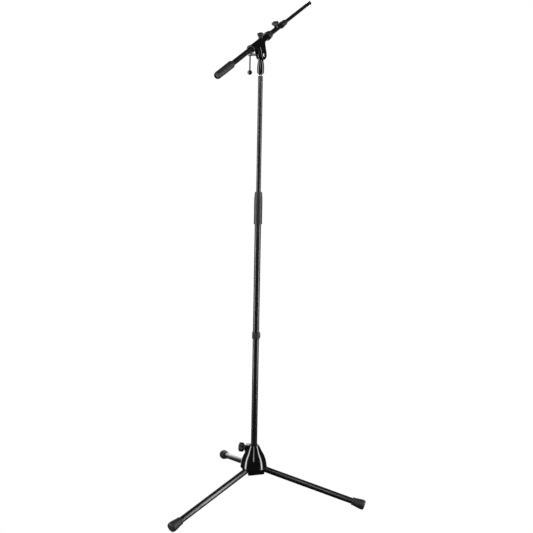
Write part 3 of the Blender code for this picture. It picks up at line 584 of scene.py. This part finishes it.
def knob(place, radius, length, lobes, start, waist=0.62, turn=0.0, sides=240):
    """A hand knob on local z, as two shells. The head's radius swells and shrinks once for each lobe, and
    its rows crown over the top and tuck in below; a neck flares out of the head towards the part that it
    clamps."""
    neck = 0.14 * length
    around = angles(sides)
    valley = 0.5 - 0.5 * np.cos(lobes * (around - turn))
    top, base = start + length, start + neck
    profile = rounded(
        [
            (base, 0.5), (base, 0.8), (base + 1.6, 0.96), (base + 0.45 * (top - base), 1.0),
            (top - 2.6, 0.97), (top - 0.6, 0.84), (top, 0.6), (top - 0.2, 0.46), (top - 1.0, 0.42),
            (top - 1.0, 0.1),
        ],
        2.0,
        8,
    )
    height, size = profile.T
    depth = 0.24 * np.clip((size - 0.44) / 0.4, 0, 1)
    reach = radius * (size[:, None] - depth[:, None] * valley)
    rows = np.stack([reach * np.cos(around), reach * np.sin(around), height[:, None] + 0 * around], -1)
    flare = rounded(
        [
            (start, 4.6), (start, waist * radius), (base - 0.4, waist * radius),
            (base + 1.0, 0.74 * radius), (base + 2, 4.6),
        ],
        0.8
    )
    return [skin(place, rows), turned(place, flare[1:-1], 72)]


low, high = extent("base_clamp_knob", clamp)
piece(
    "base_clamp_star_knob", knob(clamp, 16.5, high[2] - low[2], 6, low[2], turn=0.3),
    "base_clamp", ["base_clamp_knob"], moulded_nylon,
)


def screw_shell(place, name, radius):
    """A plated screw over the length of its CAD node: a plain cylinder with broken edges."""
    low, high = extent(name, place)
    profile = [
        (low[2], radius - 0.6), (low[2] + 0.5, radius), (high[2] - 0.6, radius), (high[2], radius - 0.6),
    ]
    return turned(place, rounded(profile, 0.3), 48)


piece(
    "base_clamp_stud", [screw_shell(clamp, "base_clamp_screw", 4.0)], "base_clamp", ["base_clamp_screw"],
    nickel_plate,
)


# The legs: steel tubes with a zinc knuckle in the inner end, which hinges on a blackened pin in the hub,
# and a moulded rubber boot on the outer end.

# Polyester powder coat on steel tube: black, with an orange-peel ripple about 1.5 mm wide that softens
# reflections.
powder_coat = finish(
    "gloss_powder_coat_on_tube", "#0a0a0b", "#101011", (0.26, 0.32), patch=22.0, grain=1.6, depth=0.0012,
    IOR=1.5
)
# Moulded rubber: charcoal and nearly matt, lightly bloomed, with a fine moulded grain drawn at 0.8 mm.
moulded_rubber = finish(
    "moulded_black_rubber", "#0d0d0d", "#161616", (0.55, 0.66), patch=7.0, grain=0.8, depth=0.01
)

# Black oxide on steel: blue-black and half matt, with oil drawn thin over it.
black_oxide = finish(
    "black_oxide_on_steel", "#0a0a0c", "#121213", (0.34, 0.44), patch=3.0, grain=0.7, depth=0.004,
    IOR=1.8,
)

LEG_TUBE = 10.6
LEG_BORE = 8.9
# The boot: where its tip ends along the leg, and its widest radius.
BOOT_TIP = 380.0
BOOT_WIDE = 17.5
for side, place in leg_places.items():
    body = f"leg_{side}"
    hinge = hinge_place(side)
    low, high = extent(f"leg_pin_{side}", hinge)
    profile = rounded([(low[2], 1.2), (low[2], PIN_RADIUS), (high[2], PIN_RADIUS), (high[2], 1.2)], 0.5)
    piece(
        f"leg_hinge_pin_{side}", [turned(hinge, profile, 48)], "base", [f"leg_pin_{side}"],
        black_oxide,
    )

    plug_end = extent(f"leg_knuckle_{side}", place)[1][2]
    tube_low, tube_high = extent(f"leg_tube_{side}", place)
    shoulder = tube_low[2] - 0.3
    profile = [
        (plug_end, 2.0), (plug_end, 8.6), (shoulder, 8.6), (shoulder, 10.4), (5.0, 10.4), (2.0, 8.6),
        (2.0, 2.0),
    ]
    eye = facing(hinge[0], hinge[1][:, 2], place[1][:, 0])
    eye_profile = [(0, 8.5), (10.8, 8.5), (10.8, 2.8), (-10.8, 2.8), (-10.8, 8.5), (0, 8.5)]
    knuckle = [
        turned(place, rounded(profile, 0.8), 96),
        turned(eye, rounded(eye_profile, 0.8)[:-1], 72, ring=True),
    ]
    piece(
        f"leg_hinge_knuckle_{side}", knuckle, body, [f"leg_knuckle_{side}"], cast_enamel,
    )

    shell = pipe(place, tube_low[2], tube_high[2], LEG_TUBE, LEG_BORE)
    piece(f"leg_steel_tube_{side}", [shell], body, [f"leg_tube_{side}"], powder_coat)

    mouth = extent(f"leg_foot_{side}", place)[0][2]
    floor_in = tube_high[2] + 0.4
    profile = [
        (floor_in, LEG_TUBE - 2.0), (floor_in, LEG_TUBE + 0.3), (mouth, LEG_TUBE + 0.3), (mouth, 13.6),
        (mouth + 3.4, 13.9), (mouth + 4.0, 13.3), (mouth + 5.0, 13.4), (BOOT_TIP - 15.0, BOOT_WIDE - 0.3),
        (BOOT_TIP - 8.0, BOOT_WIDE), (BOOT_TIP - 1.2, 15.6), (BOOT_TIP, 10.5), (BOOT_TIP, 2.0),
    ]
    boot_points, boot_faces = turned(place, rounded(profile, 3.0, 7), 120)
    boot_points[:, 2] = np.maximum(boot_points[:, 2], 0)
    piece(
        f"leg_rubber_boot_{side}", [(boot_points, boot_faces)], body, [f"leg_foot_{side}"],
        moulded_rubber,
    )


# The lower column: a steel tube with a moulded plug in its foot, and the rubber stop ring, whose three
# lobes point along the legs.

low, high = extent("lower_tube", column)
LOWER_TUBE = 11.0
LOWER_BORE = 9.6
piece(
    "lower_steel_tube", [pipe(column, low[2], high[2], LOWER_TUBE, LOWER_BORE)], "lower_column",
    ["lower_tube"], powder_coat,
)
low, high = extent("lower_tube_plug", column)
flange = low[2] + 2.5
profile = [
    (low[2], 2.0), (low[2], LOWER_TUBE), (flange, LOWER_TUBE), (flange, 9.2), (high[2], 9.2),
    (high[2], 2.0),
]
piece(
    "lower_tube_foot_plug", [turned(column, rounded(profile, 0.7))], "lower_column", ["lower_tube_plug"],
    moulded_nylon,
)


def stop_ring(place, low, high, sides=240):
    """The stop ring: a plain ring whose radius, over its middle part, grows to that of three round lobes
    that stand off the axis. Where a lobe meets the ring the larger radius wins, softened over half a
    millimetre."""
    lobe, offset, soft = 5.0, 10.4, 0.5
    bore = LOWER_TUBE + 0.3
    turn = angles(sides)
    ring = np.full(sides, 13.4)
    wide = ring.copy()
    for azimuth in leg_azimuths.values():
        beside, out = offset * np.sin(turn - azimuth), offset * np.cos(turn - azimuth)
        circle = np.where(np.abs(beside) < lobe, out + np.sqrt(np.maximum(lobe**2 - beside**2, 0)), 0)
        wide = soft * np.logaddexp(wide / soft, np.where(out > 0, circle, 0) / soft)
    face = 12.4
    # A fixed radius or 0, then whether the lobes show, then the share of the ring's height.
    shapes = [
        (bore, 0, 0.5), (bore, 0, 0.0), (face, 0, 0.0), (0, 0, 0.0), (0, 0, 0.14), (0, 1, 0.18),
        (0, 1, 0.82), (0, 0, 0.86), (0, 0, 1.0), (face, 0, 1.0), (bore, 0, 1.0),
    ]
    rows = []
    for fixed, lobed, share in shapes:
        reach = np.full(sides, fixed) if fixed else (wide if lobed else ring)
        height = low + (high - low) * share
        rows.append(np.stack([reach * np.cos(turn), reach * np.sin(turn), np.full(sides, height)], 1))
    return skin(place, rows, ring=True)


low, high = extent("stop_ring", column)
made = piece(
    "rubber_stop_ring", [stop_ring(column, low[2], high[2])], "lower_column", ["stop_ring"],
    moulded_rubber, sharp=60,
)
soften = made.modifiers.new("moulded_edge", "BEVEL")
soften.width = 0.6 * MM
soften.segments = 2
soften.limit_method = "ANGLE"
soften.angle_limit = np.radians(50)


# The clutch: a long moulded grip that turns on a threaded body and closes a split nylon collet on the
# upper tube. A shallow oval thumb mark lies in its front, near the top.


def clutch_grip(place, low, high, sides=224):
    """The grip: a turned profile, tapered above and with a bead below. Inside an oval the surface is
    pressed in by a smooth step, which falls from the oval's edge to its flat floor."""
    mouth, bore = 8.45, 13.0
    side_points = [
        (low + 5.2, 14.15), (low + 30.0, 14.0), (low + 60.0, 14.05), (high - 27.0, 13.95),
        (high - 12.0, 13.1), (high - 3.0, 12.3),
    ]
    side = flowing(side_points, 34)
    below = rounded(
        [(low + 20, bore), (low, bore), (low, 14.6), (low + 4.0, 14.6), (low + 5.2, 14.15)], 1.0,
    )
    above = rounded(
        [
            (high - 3.0, 12.3), (high, 11.6), (high, mouth), (high - 5, mouth), (high - 18, bore),
            (low + 20, bore),
        ],
        1.2,
    )
    profile = np.concatenate([below[:-1], side, above[1:-1]])
    height, radius = profile.T
    turn = angles(sides)
    apart = (turn + np.pi / 2 + np.pi) % (2 * np.pi) - np.pi
    across, up_down = apart[None, :] * 13.0 / 4.0, (height[:, None] - (high - 15.0)) / 10.0
    inside = np.clip((1.0 - np.sqrt(across**2 + up_down**2)) / 0.22, 0, 1)
    outer = (radius > 11.0)[:, None] & (height > low + 40)[:, None]
    reach = radius[:, None] - np.where(
        outer & (radius != bore)[:, None], 0.7 * inside**2 * (3 - 2 * inside), 0,
    )
    rows = np.stack([reach * np.cos(turn), reach * np.sin(turn), height[:, None] + 0 * turn], -1)
    return skin(place, rows, ring=True)


low, high = extent("clutch_grip", column)
piece(
    "clutch_moulded_grip", [clutch_grip(column, low[2], high[2])], "clutch", ["clutch_grip"],
    moulded_nylon,
)
coat(["clutch_body"], moulded_nylon)
coat(["clutch_collet"], natural_nylon)


# The upper column: a thinner tube guided by a nylon bush inside the lower one. A threaded stud in its top
# carries the swivel above a bright plated washer.

UPPER_TUBE = 8.0
UPPER_BORE = 6.8
low, high = extent("upper_tube", column)
piece(
    "upper_steel_tube", [pipe(column, low[2], high[2], UPPER_TUBE, UPPER_BORE)], "upper_column",
    ["upper_tube"], powder_coat,
)
coat(["upper_tube_bush"], natural_nylon)
low, high = extent("head_washer", column)
piece(
    "head_plated_washer", [pipe(column, low[2], high[2], 9.7, 6.8, 0.5)], "upper_column", ["head_washer"],
    nickel_plate,
)


def threaded(place, low, high, radius, pitch, depth, sides=48):
    """A screw thread: round local z and along it the radius rises and falls as a triangle wave of the
    pitch, which moves on by one pitch in each turn, and the wave dies out at both ends."""
    rows_count = int((high - low) / pitch * 10)
    height = np.linspace(low, high, rows_count)[:, None]
    turn = angles(sides)[None, :]
    wave = np.abs(((height / pitch - turn / (2 * np.pi)) % 1) * 2 - 1)
    fade = np.clip(np.minimum(height - low, high - height) / pitch, 0, 1)
    reach = radius - depth * (1 - (1 - wave) * fade)
    rows = np.stack([reach * np.cos(turn), reach * np.sin(turn), height + 0 * turn], -1)
    return skin(place, rows)


low, high = extent("head_stud", column)
neck = extent("upper_tube", column)[1][2] + 3.4
stud = [
    turned(column, rounded([(low[2], 2.0), (low[2], 6.5), (neck, 6.5), (neck, 2.0)], 0.5), 64),
    threaded(column, neck, high[2], 7.6, 1.27, 0.7, 64),
]
piece("head_threaded_stud", stud, "upper_column", ["head_stud"], black_oxide)


# The swivel's base is a zinc casting: a socket that screws on the stud, a waisted neck, and a flat round
# tongue for the tilt joint. Its sides flow from round to flat in one S-curve. It is enamelled like the
# hub.

tilt_point = np.array(joints["boom_tilt"]["pos_m"])
boom_along = unit(joints["boom_slide"]["axis"])
away_side = unit(joints["tilt_screw_turn"]["axis"])
boom_level = unit(np.cross(away_side, (0, 0, 1)))
TONGUE_RADIUS = 15.5
TONGUE_HALF = 4.0
TONGUE_POWER = 0.34


def swivel_base(place, low, sides=160):
    """The base in rows up local z. A row is a superellipse: x and y are a half-width times the cosine or
    sine of the turn raised to a power. The power falls from one, a circle, to a third as the neck becomes
    the flat tongue, whose half-width above the axis is that of a circle."""
    stations = flowing(
        [
            (low + 0.0, 10.6, 10.6, 1.0), (low + 1.2, 11.2, 11.2, 1.0), (low + 8.0, 11.7, 11.7, 1.0),
            (low + 20.0, 11.8, 11.8, 1.0), (low + 28.0, 11.2, 11.2, 1.0), (low + 35.0, 10.2, 10.0, 0.95),
            (low + 40.0, 10.0, 8.4, 0.8), (low + 44.5, 10.8, 6.2, 0.6), (low + 49.0, 12.6, 4.6, 0.42),
            (-8.0, 14.6, TONGUE_HALF, TONGUE_POWER),
        ],
        9,
    )
    bend = np.radians(np.linspace(-26, 86, 40))
    flat = np.tile((TONGUE_HALF, TONGUE_POWER), (40, 1))
    round_top = np.column_stack([TONGUE_RADIUS * np.sin(bend), TONGUE_RADIUS * np.cos(bend), flat])
    height, wide, thick, power = np.concatenate([stations, round_top]).T[..., None]
    turn = angles(sides)
    cosine, sine = np.cos(turn), np.sin(turn)
    across = wide * np.sign(cosine) * np.abs(cosine) ** power
    through = thick * np.sign(sine) * np.abs(sine) ** power
    rows = np.stack([across, through, height + 0 * turn], -1)
    return skin(place, rows)


swivel = facing(tilt_point, (0, 0, 1), boom_level)
swivel_low = extent("swivel_base", swivel)[0][2]
piece(
    "swivel_base_casting", [swivel_base(swivel, swivel_low)], "swivel", ["swivel_base"],
    cast_enamel, sharp=50,
)


# The boom clamp is the upper casting: a sleeve for the boom over a fork, whose two cheeks straddle the
# tongue. The fork's block stands a little proud of the sleeve, so a narrow ledge runs along each side
# under the boom.

boom_line_up = unit(np.cross(boom_along, away_side))
tilt = (tilt_point, np.column_stack([boom_along, away_side, boom_line_up]))
lock_point = np.array(joints["boom_lock_turn"]["pos_m"])
boom_offset = np.dot(lock_point - tilt_point, boom_line_up) / MM
boom = facing(tilt_point + boom_line_up * boom_offset * MM, boom_along, boom_line_up)

CHEEK_INNER = 5.6
LEFT_CHEEK = 10.5
RIGHT_CHEEK = 14.5
CHEEK_RADIUS = 17.0
LEFT_EDGE = 2.2
RIGHT_EDGE = 4.6
FORK_HALF = 20.0
LEDGE_DROP = 3.5


def cheek(side, outer, outer_edge):
    """One cheek, a plate across local y. Its outline is the fork's flat top and an arc round the tilt
    axis. Rows go through the plate; they step in at both faces by a quarter round, which is tighter along
    the ledge."""
    bend = np.radians(np.linspace(190, 350, 41))
    arc = np.column_stack([CHEEK_RADIUS * np.cos(bend), CHEEK_RADIUS * np.sin(bend)])
    top = boom_offset - LEDGE_DROP
    side_height = np.linspace(0, 1, 12)[1:-1, None]
    edge_right = arc[-1] + (np.array([FORK_HALF, top]) - arc[-1]) * side_height
    ledge = np.column_stack([np.linspace(FORK_HALF, -FORK_HALF, 24), np.full(24, top)])
    outline = np.concatenate([arc, edge_right, ledge, edge_right[::-1] * (-1, 1)])
    softness = np.where(outline[:, 1] > top - 1.5, 0.3, 1.0)
    bend = np.radians(np.linspace(0, 90, 9))
    inner_edge = 0.8
    rows = []
    for angle in bend:
        rows.append((inner_edge * (1 - np.sin(angle)), CHEEK_INNER + inner_edge * (1 - np.cos(angle))))
    for angle in bend[::-1]:
        rows.append((outer_edge * (1 - np.sin(angle)), outer - outer_edge * (1 - np.cos(angle))))
    loops = []
    for distance, height in rows:
        loop = inset(outline, distance * softness)
        loops.append(np.column_stack([loop[:, 0], np.full(len(loop), side * height), loop[:, 1]]))
    return skin(tilt, loops)


def web():
    """The block that joins the cheeks above the tongue, with a hollowed roof over the tongue."""
    outline = np.array(
        [
            (-18.4, boom_offset - LEDGE_DROP - 0.3), (-17.2, 20.6), (17.2, 20.6),
            (18.4, boom_offset - LEDGE_DROP - 0.3),
        ]
    )
    loop = rounded_loop(outline, 1.2)
    return skin(
        tilt,
        [np.column_stack([loop[:, 0], np.full(len(loop), y), loop[:, 1]]) for y in (-7.0, 0.0, 7.0)],
    )


SLEEVE = 11.6
SLEEVE_BORE = 9.8
NUT_POCKET = 8.3
sleeve_low, sleeve_high = -50.0, 53.0
sleeve = rounded(
    [
        (0, SLEEVE), (sleeve_high, SLEEVE), (sleeve_high, SLEEVE_BORE), (sleeve_low, SLEEVE_BORE),
        (sleeve_low, SLEEVE), (0, SLEEVE),
    ],
    0.8
)
lock = facing(lock_point, boom_line_up, boom_along)
boss = rounded(
    [
        (9.0, 2.0), (9.0, 9.6), (10.6, 9.0), (11.6, 7.6), (14.0, 7.3), (14.0, 4.5), (12.0, 4.5),
        (12.0, 2.0),
    ],
    1.0,
)
nut_place = facing(tilt_point, -away_side, boom_along)
# The right cheek is thick and domed, with a round pocket for the nut.
pocket = turned(nut_place, [(RIGHT_CHEEK - 4.6, NUT_POCKET), (RIGHT_CHEEK + 5.0, NUT_POCKET)], 64)
# The sleeve's bore runs on through the tops of the fork and the boss.
bore = turned(boom, [(sleeve_low - 5, SLEEVE_BORE), (sleeve_high + 5, SLEEVE_BORE)], 128)
clamp_shells = [
    turned(boom, sleeve[:-1], 128, ring=True), drilled(cheek(1, LEFT_CHEEK, LEFT_EDGE), [bore]),
    drilled(cheek(-1, RIGHT_CHEEK, RIGHT_EDGE), [pocket, bore]), drilled(web(), [bore]),
    drilled(turned(lock, boss, 72), [bore]),
]
piece(
    "boom_clamp_casting", clamp_shells, "boom_clamp", ["boom_clamp_body"], cast_enamel,
    sharp=50,
)
for side in ("left", "right"):
    low, high = extent(f"friction_disc_{side}", tilt)
    disc_place = facing(tilt_point, away_side, boom_along)
    disc = pipe(disc_place, low[1], high[1], 13.0, 4.3, 0.2)
    piece(
        f"fibre_friction_disc_{side}", [disc], "boom_clamp", [f"friction_disc_{side}"],
        moulded_rubber,
    )


# The tilt clamp: a blackened screw and washer through the fork, with a plated hexagon nut on the near
# side. Its round head stands out on the far side and is turned by a thin bar, which slides in a cross
# hole and ends in a ball and a small stop.

turn_place = facing(tilt_point, away_side, (0, 0, 1))
low, high = extent("tilt_nut", tilt)
NUT_RADIUS = 7.4
hexagon = np.array([(NUT_RADIUS * np.cos(a), NUT_RADIUS * np.sin(a)) for a in angles(6) + np.pi / 6])
nut_low, nut_high = -high[1], -low[1]
sections = [
    (1.1, nut_low), (0.15, nut_low + 0.5), (0.0, nut_low + 1.0), (0.0, nut_high - 1.0),
    (0.15, nut_high - 0.5), (1.1, nut_high),
]
piece(
    "tilt_hexagon_nut", [prism(nut_place, hexagon, 0.5, sections)], "boom_clamp", ["tilt_nut"],
    nickel_plate,
)

low, high = extent("tilt_screw", turn_place)
SHANK = 4.0
HEAD = 5.0
head_start = high[2] - 12.0
profile = [
    (low[2], 2.0), (low[2], SHANK - 0.6), (low[2] + 0.8, SHANK), (head_start - 1.0, SHANK),
    (head_start, HEAD), (high[2] - 1.2, HEAD), (high[2], HEAD - 1.4), (high[2], 1.5),
]
bar_reach = np.dot(np.array(extent("tilt_bar", turn_place)).mean(0), (0, 0, 1))
bar_place = facing(tilt_point + away_side * bar_reach * MM, (0, 0, 1), away_side)
BAR = 2.5
CROSS_HOLE = 2.7
cross_hole = turned(bar_place, [(-9, CROSS_HOLE), (9, CROSS_HOLE)], 32)
screw = drilled(turned(turn_place, rounded(profile, 0.5), 64), [cross_hole])
piece("tilt_clamp_screw", [screw], "tilt_screw", ["tilt_screw"], black_oxide)
low, high = extent("tilt_washer", turn_place)
piece(
    "tilt_plated_washer", [pipe(turn_place, low[2], high[2], 8.0, 4.3, 0.35)], "tilt_screw",
    ["tilt_washer"], black_oxide,
)

low, high = extent("tilt_bar", bar_place)
profile = [(low[2], 1.0), (low[2], BAR), (high[2], BAR), (high[2], 1.0)]
piece(
    "tilt_sliding_bar", [turned(bar_place, rounded(profile, 0.5), 48)], "tilt_bar", ["tilt_bar"],
    black_oxide,
)
low, high = extent("tilt_bar_stop", bar_place)
profile = [
    (low[2], 2.7), (low[2], 3.4), (high[2] - 1.0, 3.5), (high[2], 2.6), (high[2], 0.8),
    (high[2] - 1.1, 0.8), (high[2] - 1.1, 2.7),
]
piece(
    "tilt_bar_end_stop", [turned(bar_place, rounded(profile, 0.5), 48)], "tilt_bar", ["tilt_bar_stop"],
    black_oxide,
)

# Phenolic ball: turned glossy black resin with a faint parting line round its middle.
phenolic = finish(
    "glossy_phenolic_resin", "#0a0a0a", "#111010", (0.12, 0.2), patch=5.0, grain=3.0, depth=0.01, IOR=1.6,
)
BALL = 8.0
centre = extent("tilt_bar_ball", bar_place)[0][2] + BALL
bend = np.radians(np.linspace(-86, 66, 48))
seam = 0.06 * np.exp(-((bend / 0.03) ** 2))
ball = np.column_stack([centre + BALL * np.sin(bend), (BALL + seam) * np.cos(bend)])
piece(
    "tilt_bar_ball_end", [turned(bar_place, ball, 96)], "tilt_bar", ["tilt_bar_ball"],
    phenolic,
)


# Two moulded bushes centre the boom in its sleeve: a flared one at the rear, and a long stepped collar in
# front.

BOOM_CLEAR = 8.8
SPIGOT = 9.5
rear_low, rear_high = extent("boom_rear_bush", boom)
flange_end = sleeve_low - 0.3
profile = [
    (-40.0, BOOM_CLEAR), (rear_low[2], BOOM_CLEAR), (rear_low[2], 12.9), (rear_low[2] + 1.0, 13.8),
    (rear_low[2] + 4.4, 14.0), (flange_end - 1.0, 12.7), (flange_end, 12.3), (flange_end, SPIGOT),
    (rear_high[2], SPIGOT), (rear_high[2], BOOM_CLEAR), (-40.0, BOOM_CLEAR),
]
piece(
    "boom_rear_flared_bush", [turned(boom, rounded(profile, 0.7)[:-1], 112, ring=True)], "boom_clamp",
    ["boom_rear_bush"], moulded_nylon,
)
front_low, front_high = extent("boom_front_collar", boom)
start = sleeve_high + 0.3
end = front_high[2]
profile = [
    (50.0, BOOM_CLEAR), (front_low[2], BOOM_CLEAR), (front_low[2], SPIGOT), (start, SPIGOT),
    (start, 13.9), (start + 1.0, 14.2), (start + 5.6, 14.2), (start + 6.2, 13.5), (start + 7.0, 13.5),
    (start + 7.6, 14.1), (start + 12.4, 14.0), (start + 16.0, 12.9), (end - 7.6, 12.8),
    (end - 7.0, 12.4), (end - 6.2, 12.4),
    (end - 5.6, 12.7), (end - 1.4, 12.4), (end, 11.4), (end, BOOM_CLEAR), (50.0, BOOM_CLEAR),
]
piece(
    "boom_front_stepped_collar", [turned(boom, rounded(profile, 0.7)[:-1], 128, ring=True)], "boom_clamp",
    ["boom_front_collar"], moulded_nylon,
)

low, high = extent("boom_lock_knob", lock)
piece(
    "boom_lock_star_knob", knob(lock, 10.5, high[2] - low[2], 5, low[2], 0.8, turn=0.4), "boom_lock",
    ["boom_lock_knob"], moulded_nylon,
)
piece(
    "boom_lock_stud", [screw_shell(lock, "boom_lock_screw", 4.0)], "boom_lock", ["boom_lock_screw"],
    nickel_plate,
)
coat(["boom_lock_pad"], natural_nylon)


# The boom: a steel tube with a ribbed rubber hand grip on its rear end, which a moulded plug closes.

BOOM_TUBE = 8.5
BOOM_BORE = 7.3
low, high = extent("boom_tube", boom)
piece(
    "boom_steel_tube", [pipe(boom, low[2], high[2], BOOM_TUBE, BOOM_BORE)], "boom", ["boom_tube"],
    powder_coat,
)


def ribbed_grip(place, low, high, sides=144):
    """The grip: a turned sleeve whose outside carries fine ribs round it. Over the ribbed length the
    radius follows the top half of a sine wave of 1.7 mm pitch; a plain bead is left at each end."""
    bore, pitch, depth = BOOM_TUBE + 0.3, 1.7, 0.32
    height = np.linspace(low + 9.0, high - 7.0, int((high - low - 16.0) / pitch * 8))
    radius = 11.9 + 0.4 * (height - low) / (high - low)
    fade = np.clip(np.minimum(height - height[0], height[-1] - height) / pitch, 0, 1)
    ribs = np.column_stack(
        [
            height, radius - depth * fade * np.abs(np.sin(np.pi * (height - low) / pitch)) ** 3,
        ]
    )
    rear = rounded(
        [
            (low + 30, bore), (low, bore), (low, 9.8), (low + 2.0, 11.1), (low + 6.0, 11.8),
            (low + 9.0, 11.9),
        ],
        1.4,
    )
    front = rounded(
        [
            (high - 7.0, 12.3), (high - 5.5, 12.4), (high - 1.0, 12.4), (high, 11.3), (high, bore),
            (low + 30, bore),
        ],
        1.2,
    )
    return turned(place, np.concatenate([rear[:-1], ribs, front[1:-1]]), sides, ring=True)


low, high = extent("boom_grip", boom)
piece(
    "boom_ribbed_grip", [ribbed_grip(boom, low[2], high[2])], "boom", ["boom_grip"],
    moulded_rubber,
)
low, high = extent("boom_end_plug", boom)
tube_low, tube_high = extent("boom_tube", boom)
face = tube_low[2] - 0.3
profile = [
    (low[2] + 0.5, 1.5), (low[2] + 0.5, 4.2), (low[2], 4.8), (low[2], 6.6), (face - 1.5, BOOM_TUBE),
    (face, BOOM_TUBE),
    (face, 7.0), (high[2], 7.0), (high[2], 1.5),
]
piece(
    "boom_moulded_end_plug", [turned(boom, rounded(profile, 0.5), 80)], "boom", ["boom_end_plug"],
    moulded_nylon,
)


# The extension's lock: a moulded nose collar on the boom's end, and a cast saddle on the tube that takes
# the screw of the second star knob.

low, high = extent("extension_collar", boom)
INNER_TUBE = 6.3
profile = [
    (low[2] + 20, BOOM_TUBE + 0.3), (low[2], BOOM_TUBE + 0.3), (low[2], 10.7), (low[2] + 0.8, 11.0),
    (low[2] + 6.0, 11.0), (low[2] + 6.6, 10.5), (low[2] + 7.4, 10.5), (low[2] + 8.0, 11.0),
    (low[2] + 14.0, 10.9),
    (low[2] + 18.0, 10.0), (high[2] - 3.0, 9.6), (high[2], 8.5), (high[2], INNER_TUBE + 0.3),
    (tube_high[2] + 0.3, INNER_TUBE + 0.3), (tube_high[2] + 0.3, BOOM_TUBE + 0.3),
    (low[2] + 20, BOOM_TUBE + 0.3),
]
piece(
    "extension_nose_collar", [turned(boom, rounded(profile, 0.6)[:-1], 112, ring=True)], "boom",
    ["extension_collar"], moulded_nylon,
)

second_point = np.array(joints["extension_lock_turn"]["pos_m"])
second = facing(second_point, boom_line_up, boom_along)
low, high = extent("extension_saddle", second)


def saddle(place, top, sides=96):
    """The saddle: a round boss whose foot follows the tube. Its lowest rows drop to the tube's height at
    each point, which is the square root of the tube's radius squared less the distance from its middle
    line squared."""
    turn = angles(sides)
    rows = []
    for radius, height in [
        (4.2, None), (6.9, None), (7.0, top - 1.6), (6.6, top - 0.5), (5.6, top), (3.6, top), (3.6, None),
    ]:
        x, y = radius * np.cos(turn), radius * np.sin(turn)
        on_tube = np.sqrt(np.maximum((BOOM_TUBE + 0.3) ** 2 - y**2, 4.0))
        rows.append(np.stack([x, y, on_tube if height is None else np.full(sides, height)], 1))
    return skin(place, rows, ring=True)


piece(
    "extension_cast_saddle", [saddle(second, high[2])], "boom", ["extension_saddle"],
    cast_enamel,
)
low, high = extent("extension_lock_knob", second)
piece(
    "extension_lock_star_knob", knob(second, 13.0, high[2] - low[2], 5, low[2], 0.6, turn=0.9),
    "extension_lock", ["extension_lock_knob"], moulded_nylon,
)
piece(
    "extension_lock_stud", [screw_shell(second, "extension_lock_screw", 3.3)], "extension_lock",
    ["extension_lock_screw"], nickel_plate,
)
coat(["extension_lock_pad", "extension_bush"], natural_nylon)


# The extension: a thin tube that slides in the boom. Its tip is a plated stud with a thread for the
# microphone's clip, and a plated flange that the clip seats on.

low, high = extent("extension_tube", boom)
piece(
    "extension_steel_tube", [pipe(boom, low[2], high[2], INNER_TUBE, 5.2, 0.3, 72)], "extension",
    ["extension_tube"], powder_coat,
)
tube_end = high[2] + 0.3
low, high = extent("tip_stud", boom)
flange_low, flange_high = extent("tip_flange", boom)
shoulder = flange_low[2] - 0.3
# The stud's shoulder is painted with the tube; its thread is left bright.
profile = [
    (low[2], 1.5), (low[2], 4.9), (tube_end, 4.9), (tube_end, 6.7), (tube_end + 0.4, 7.0),
    (shoulder, 7.0),
    (shoulder, 2.0),
]
piece(
    "tip_threaded_stud", [turned(boom, rounded(profile, 0.4), 72)], "extension", ["tip_stud"],
    powder_coat,
    second=[threaded(boom, shoulder - 1, high[2], 4.7, 0.95, 0.5)], second_material=nickel_plate,
)
piece(
    "tip_plated_flange", [pipe(boom, flange_low[2], flange_high[2], 11.0, 5.0, 0.5)], "extension",
    ["tip_flange"], nickel_plate,
)
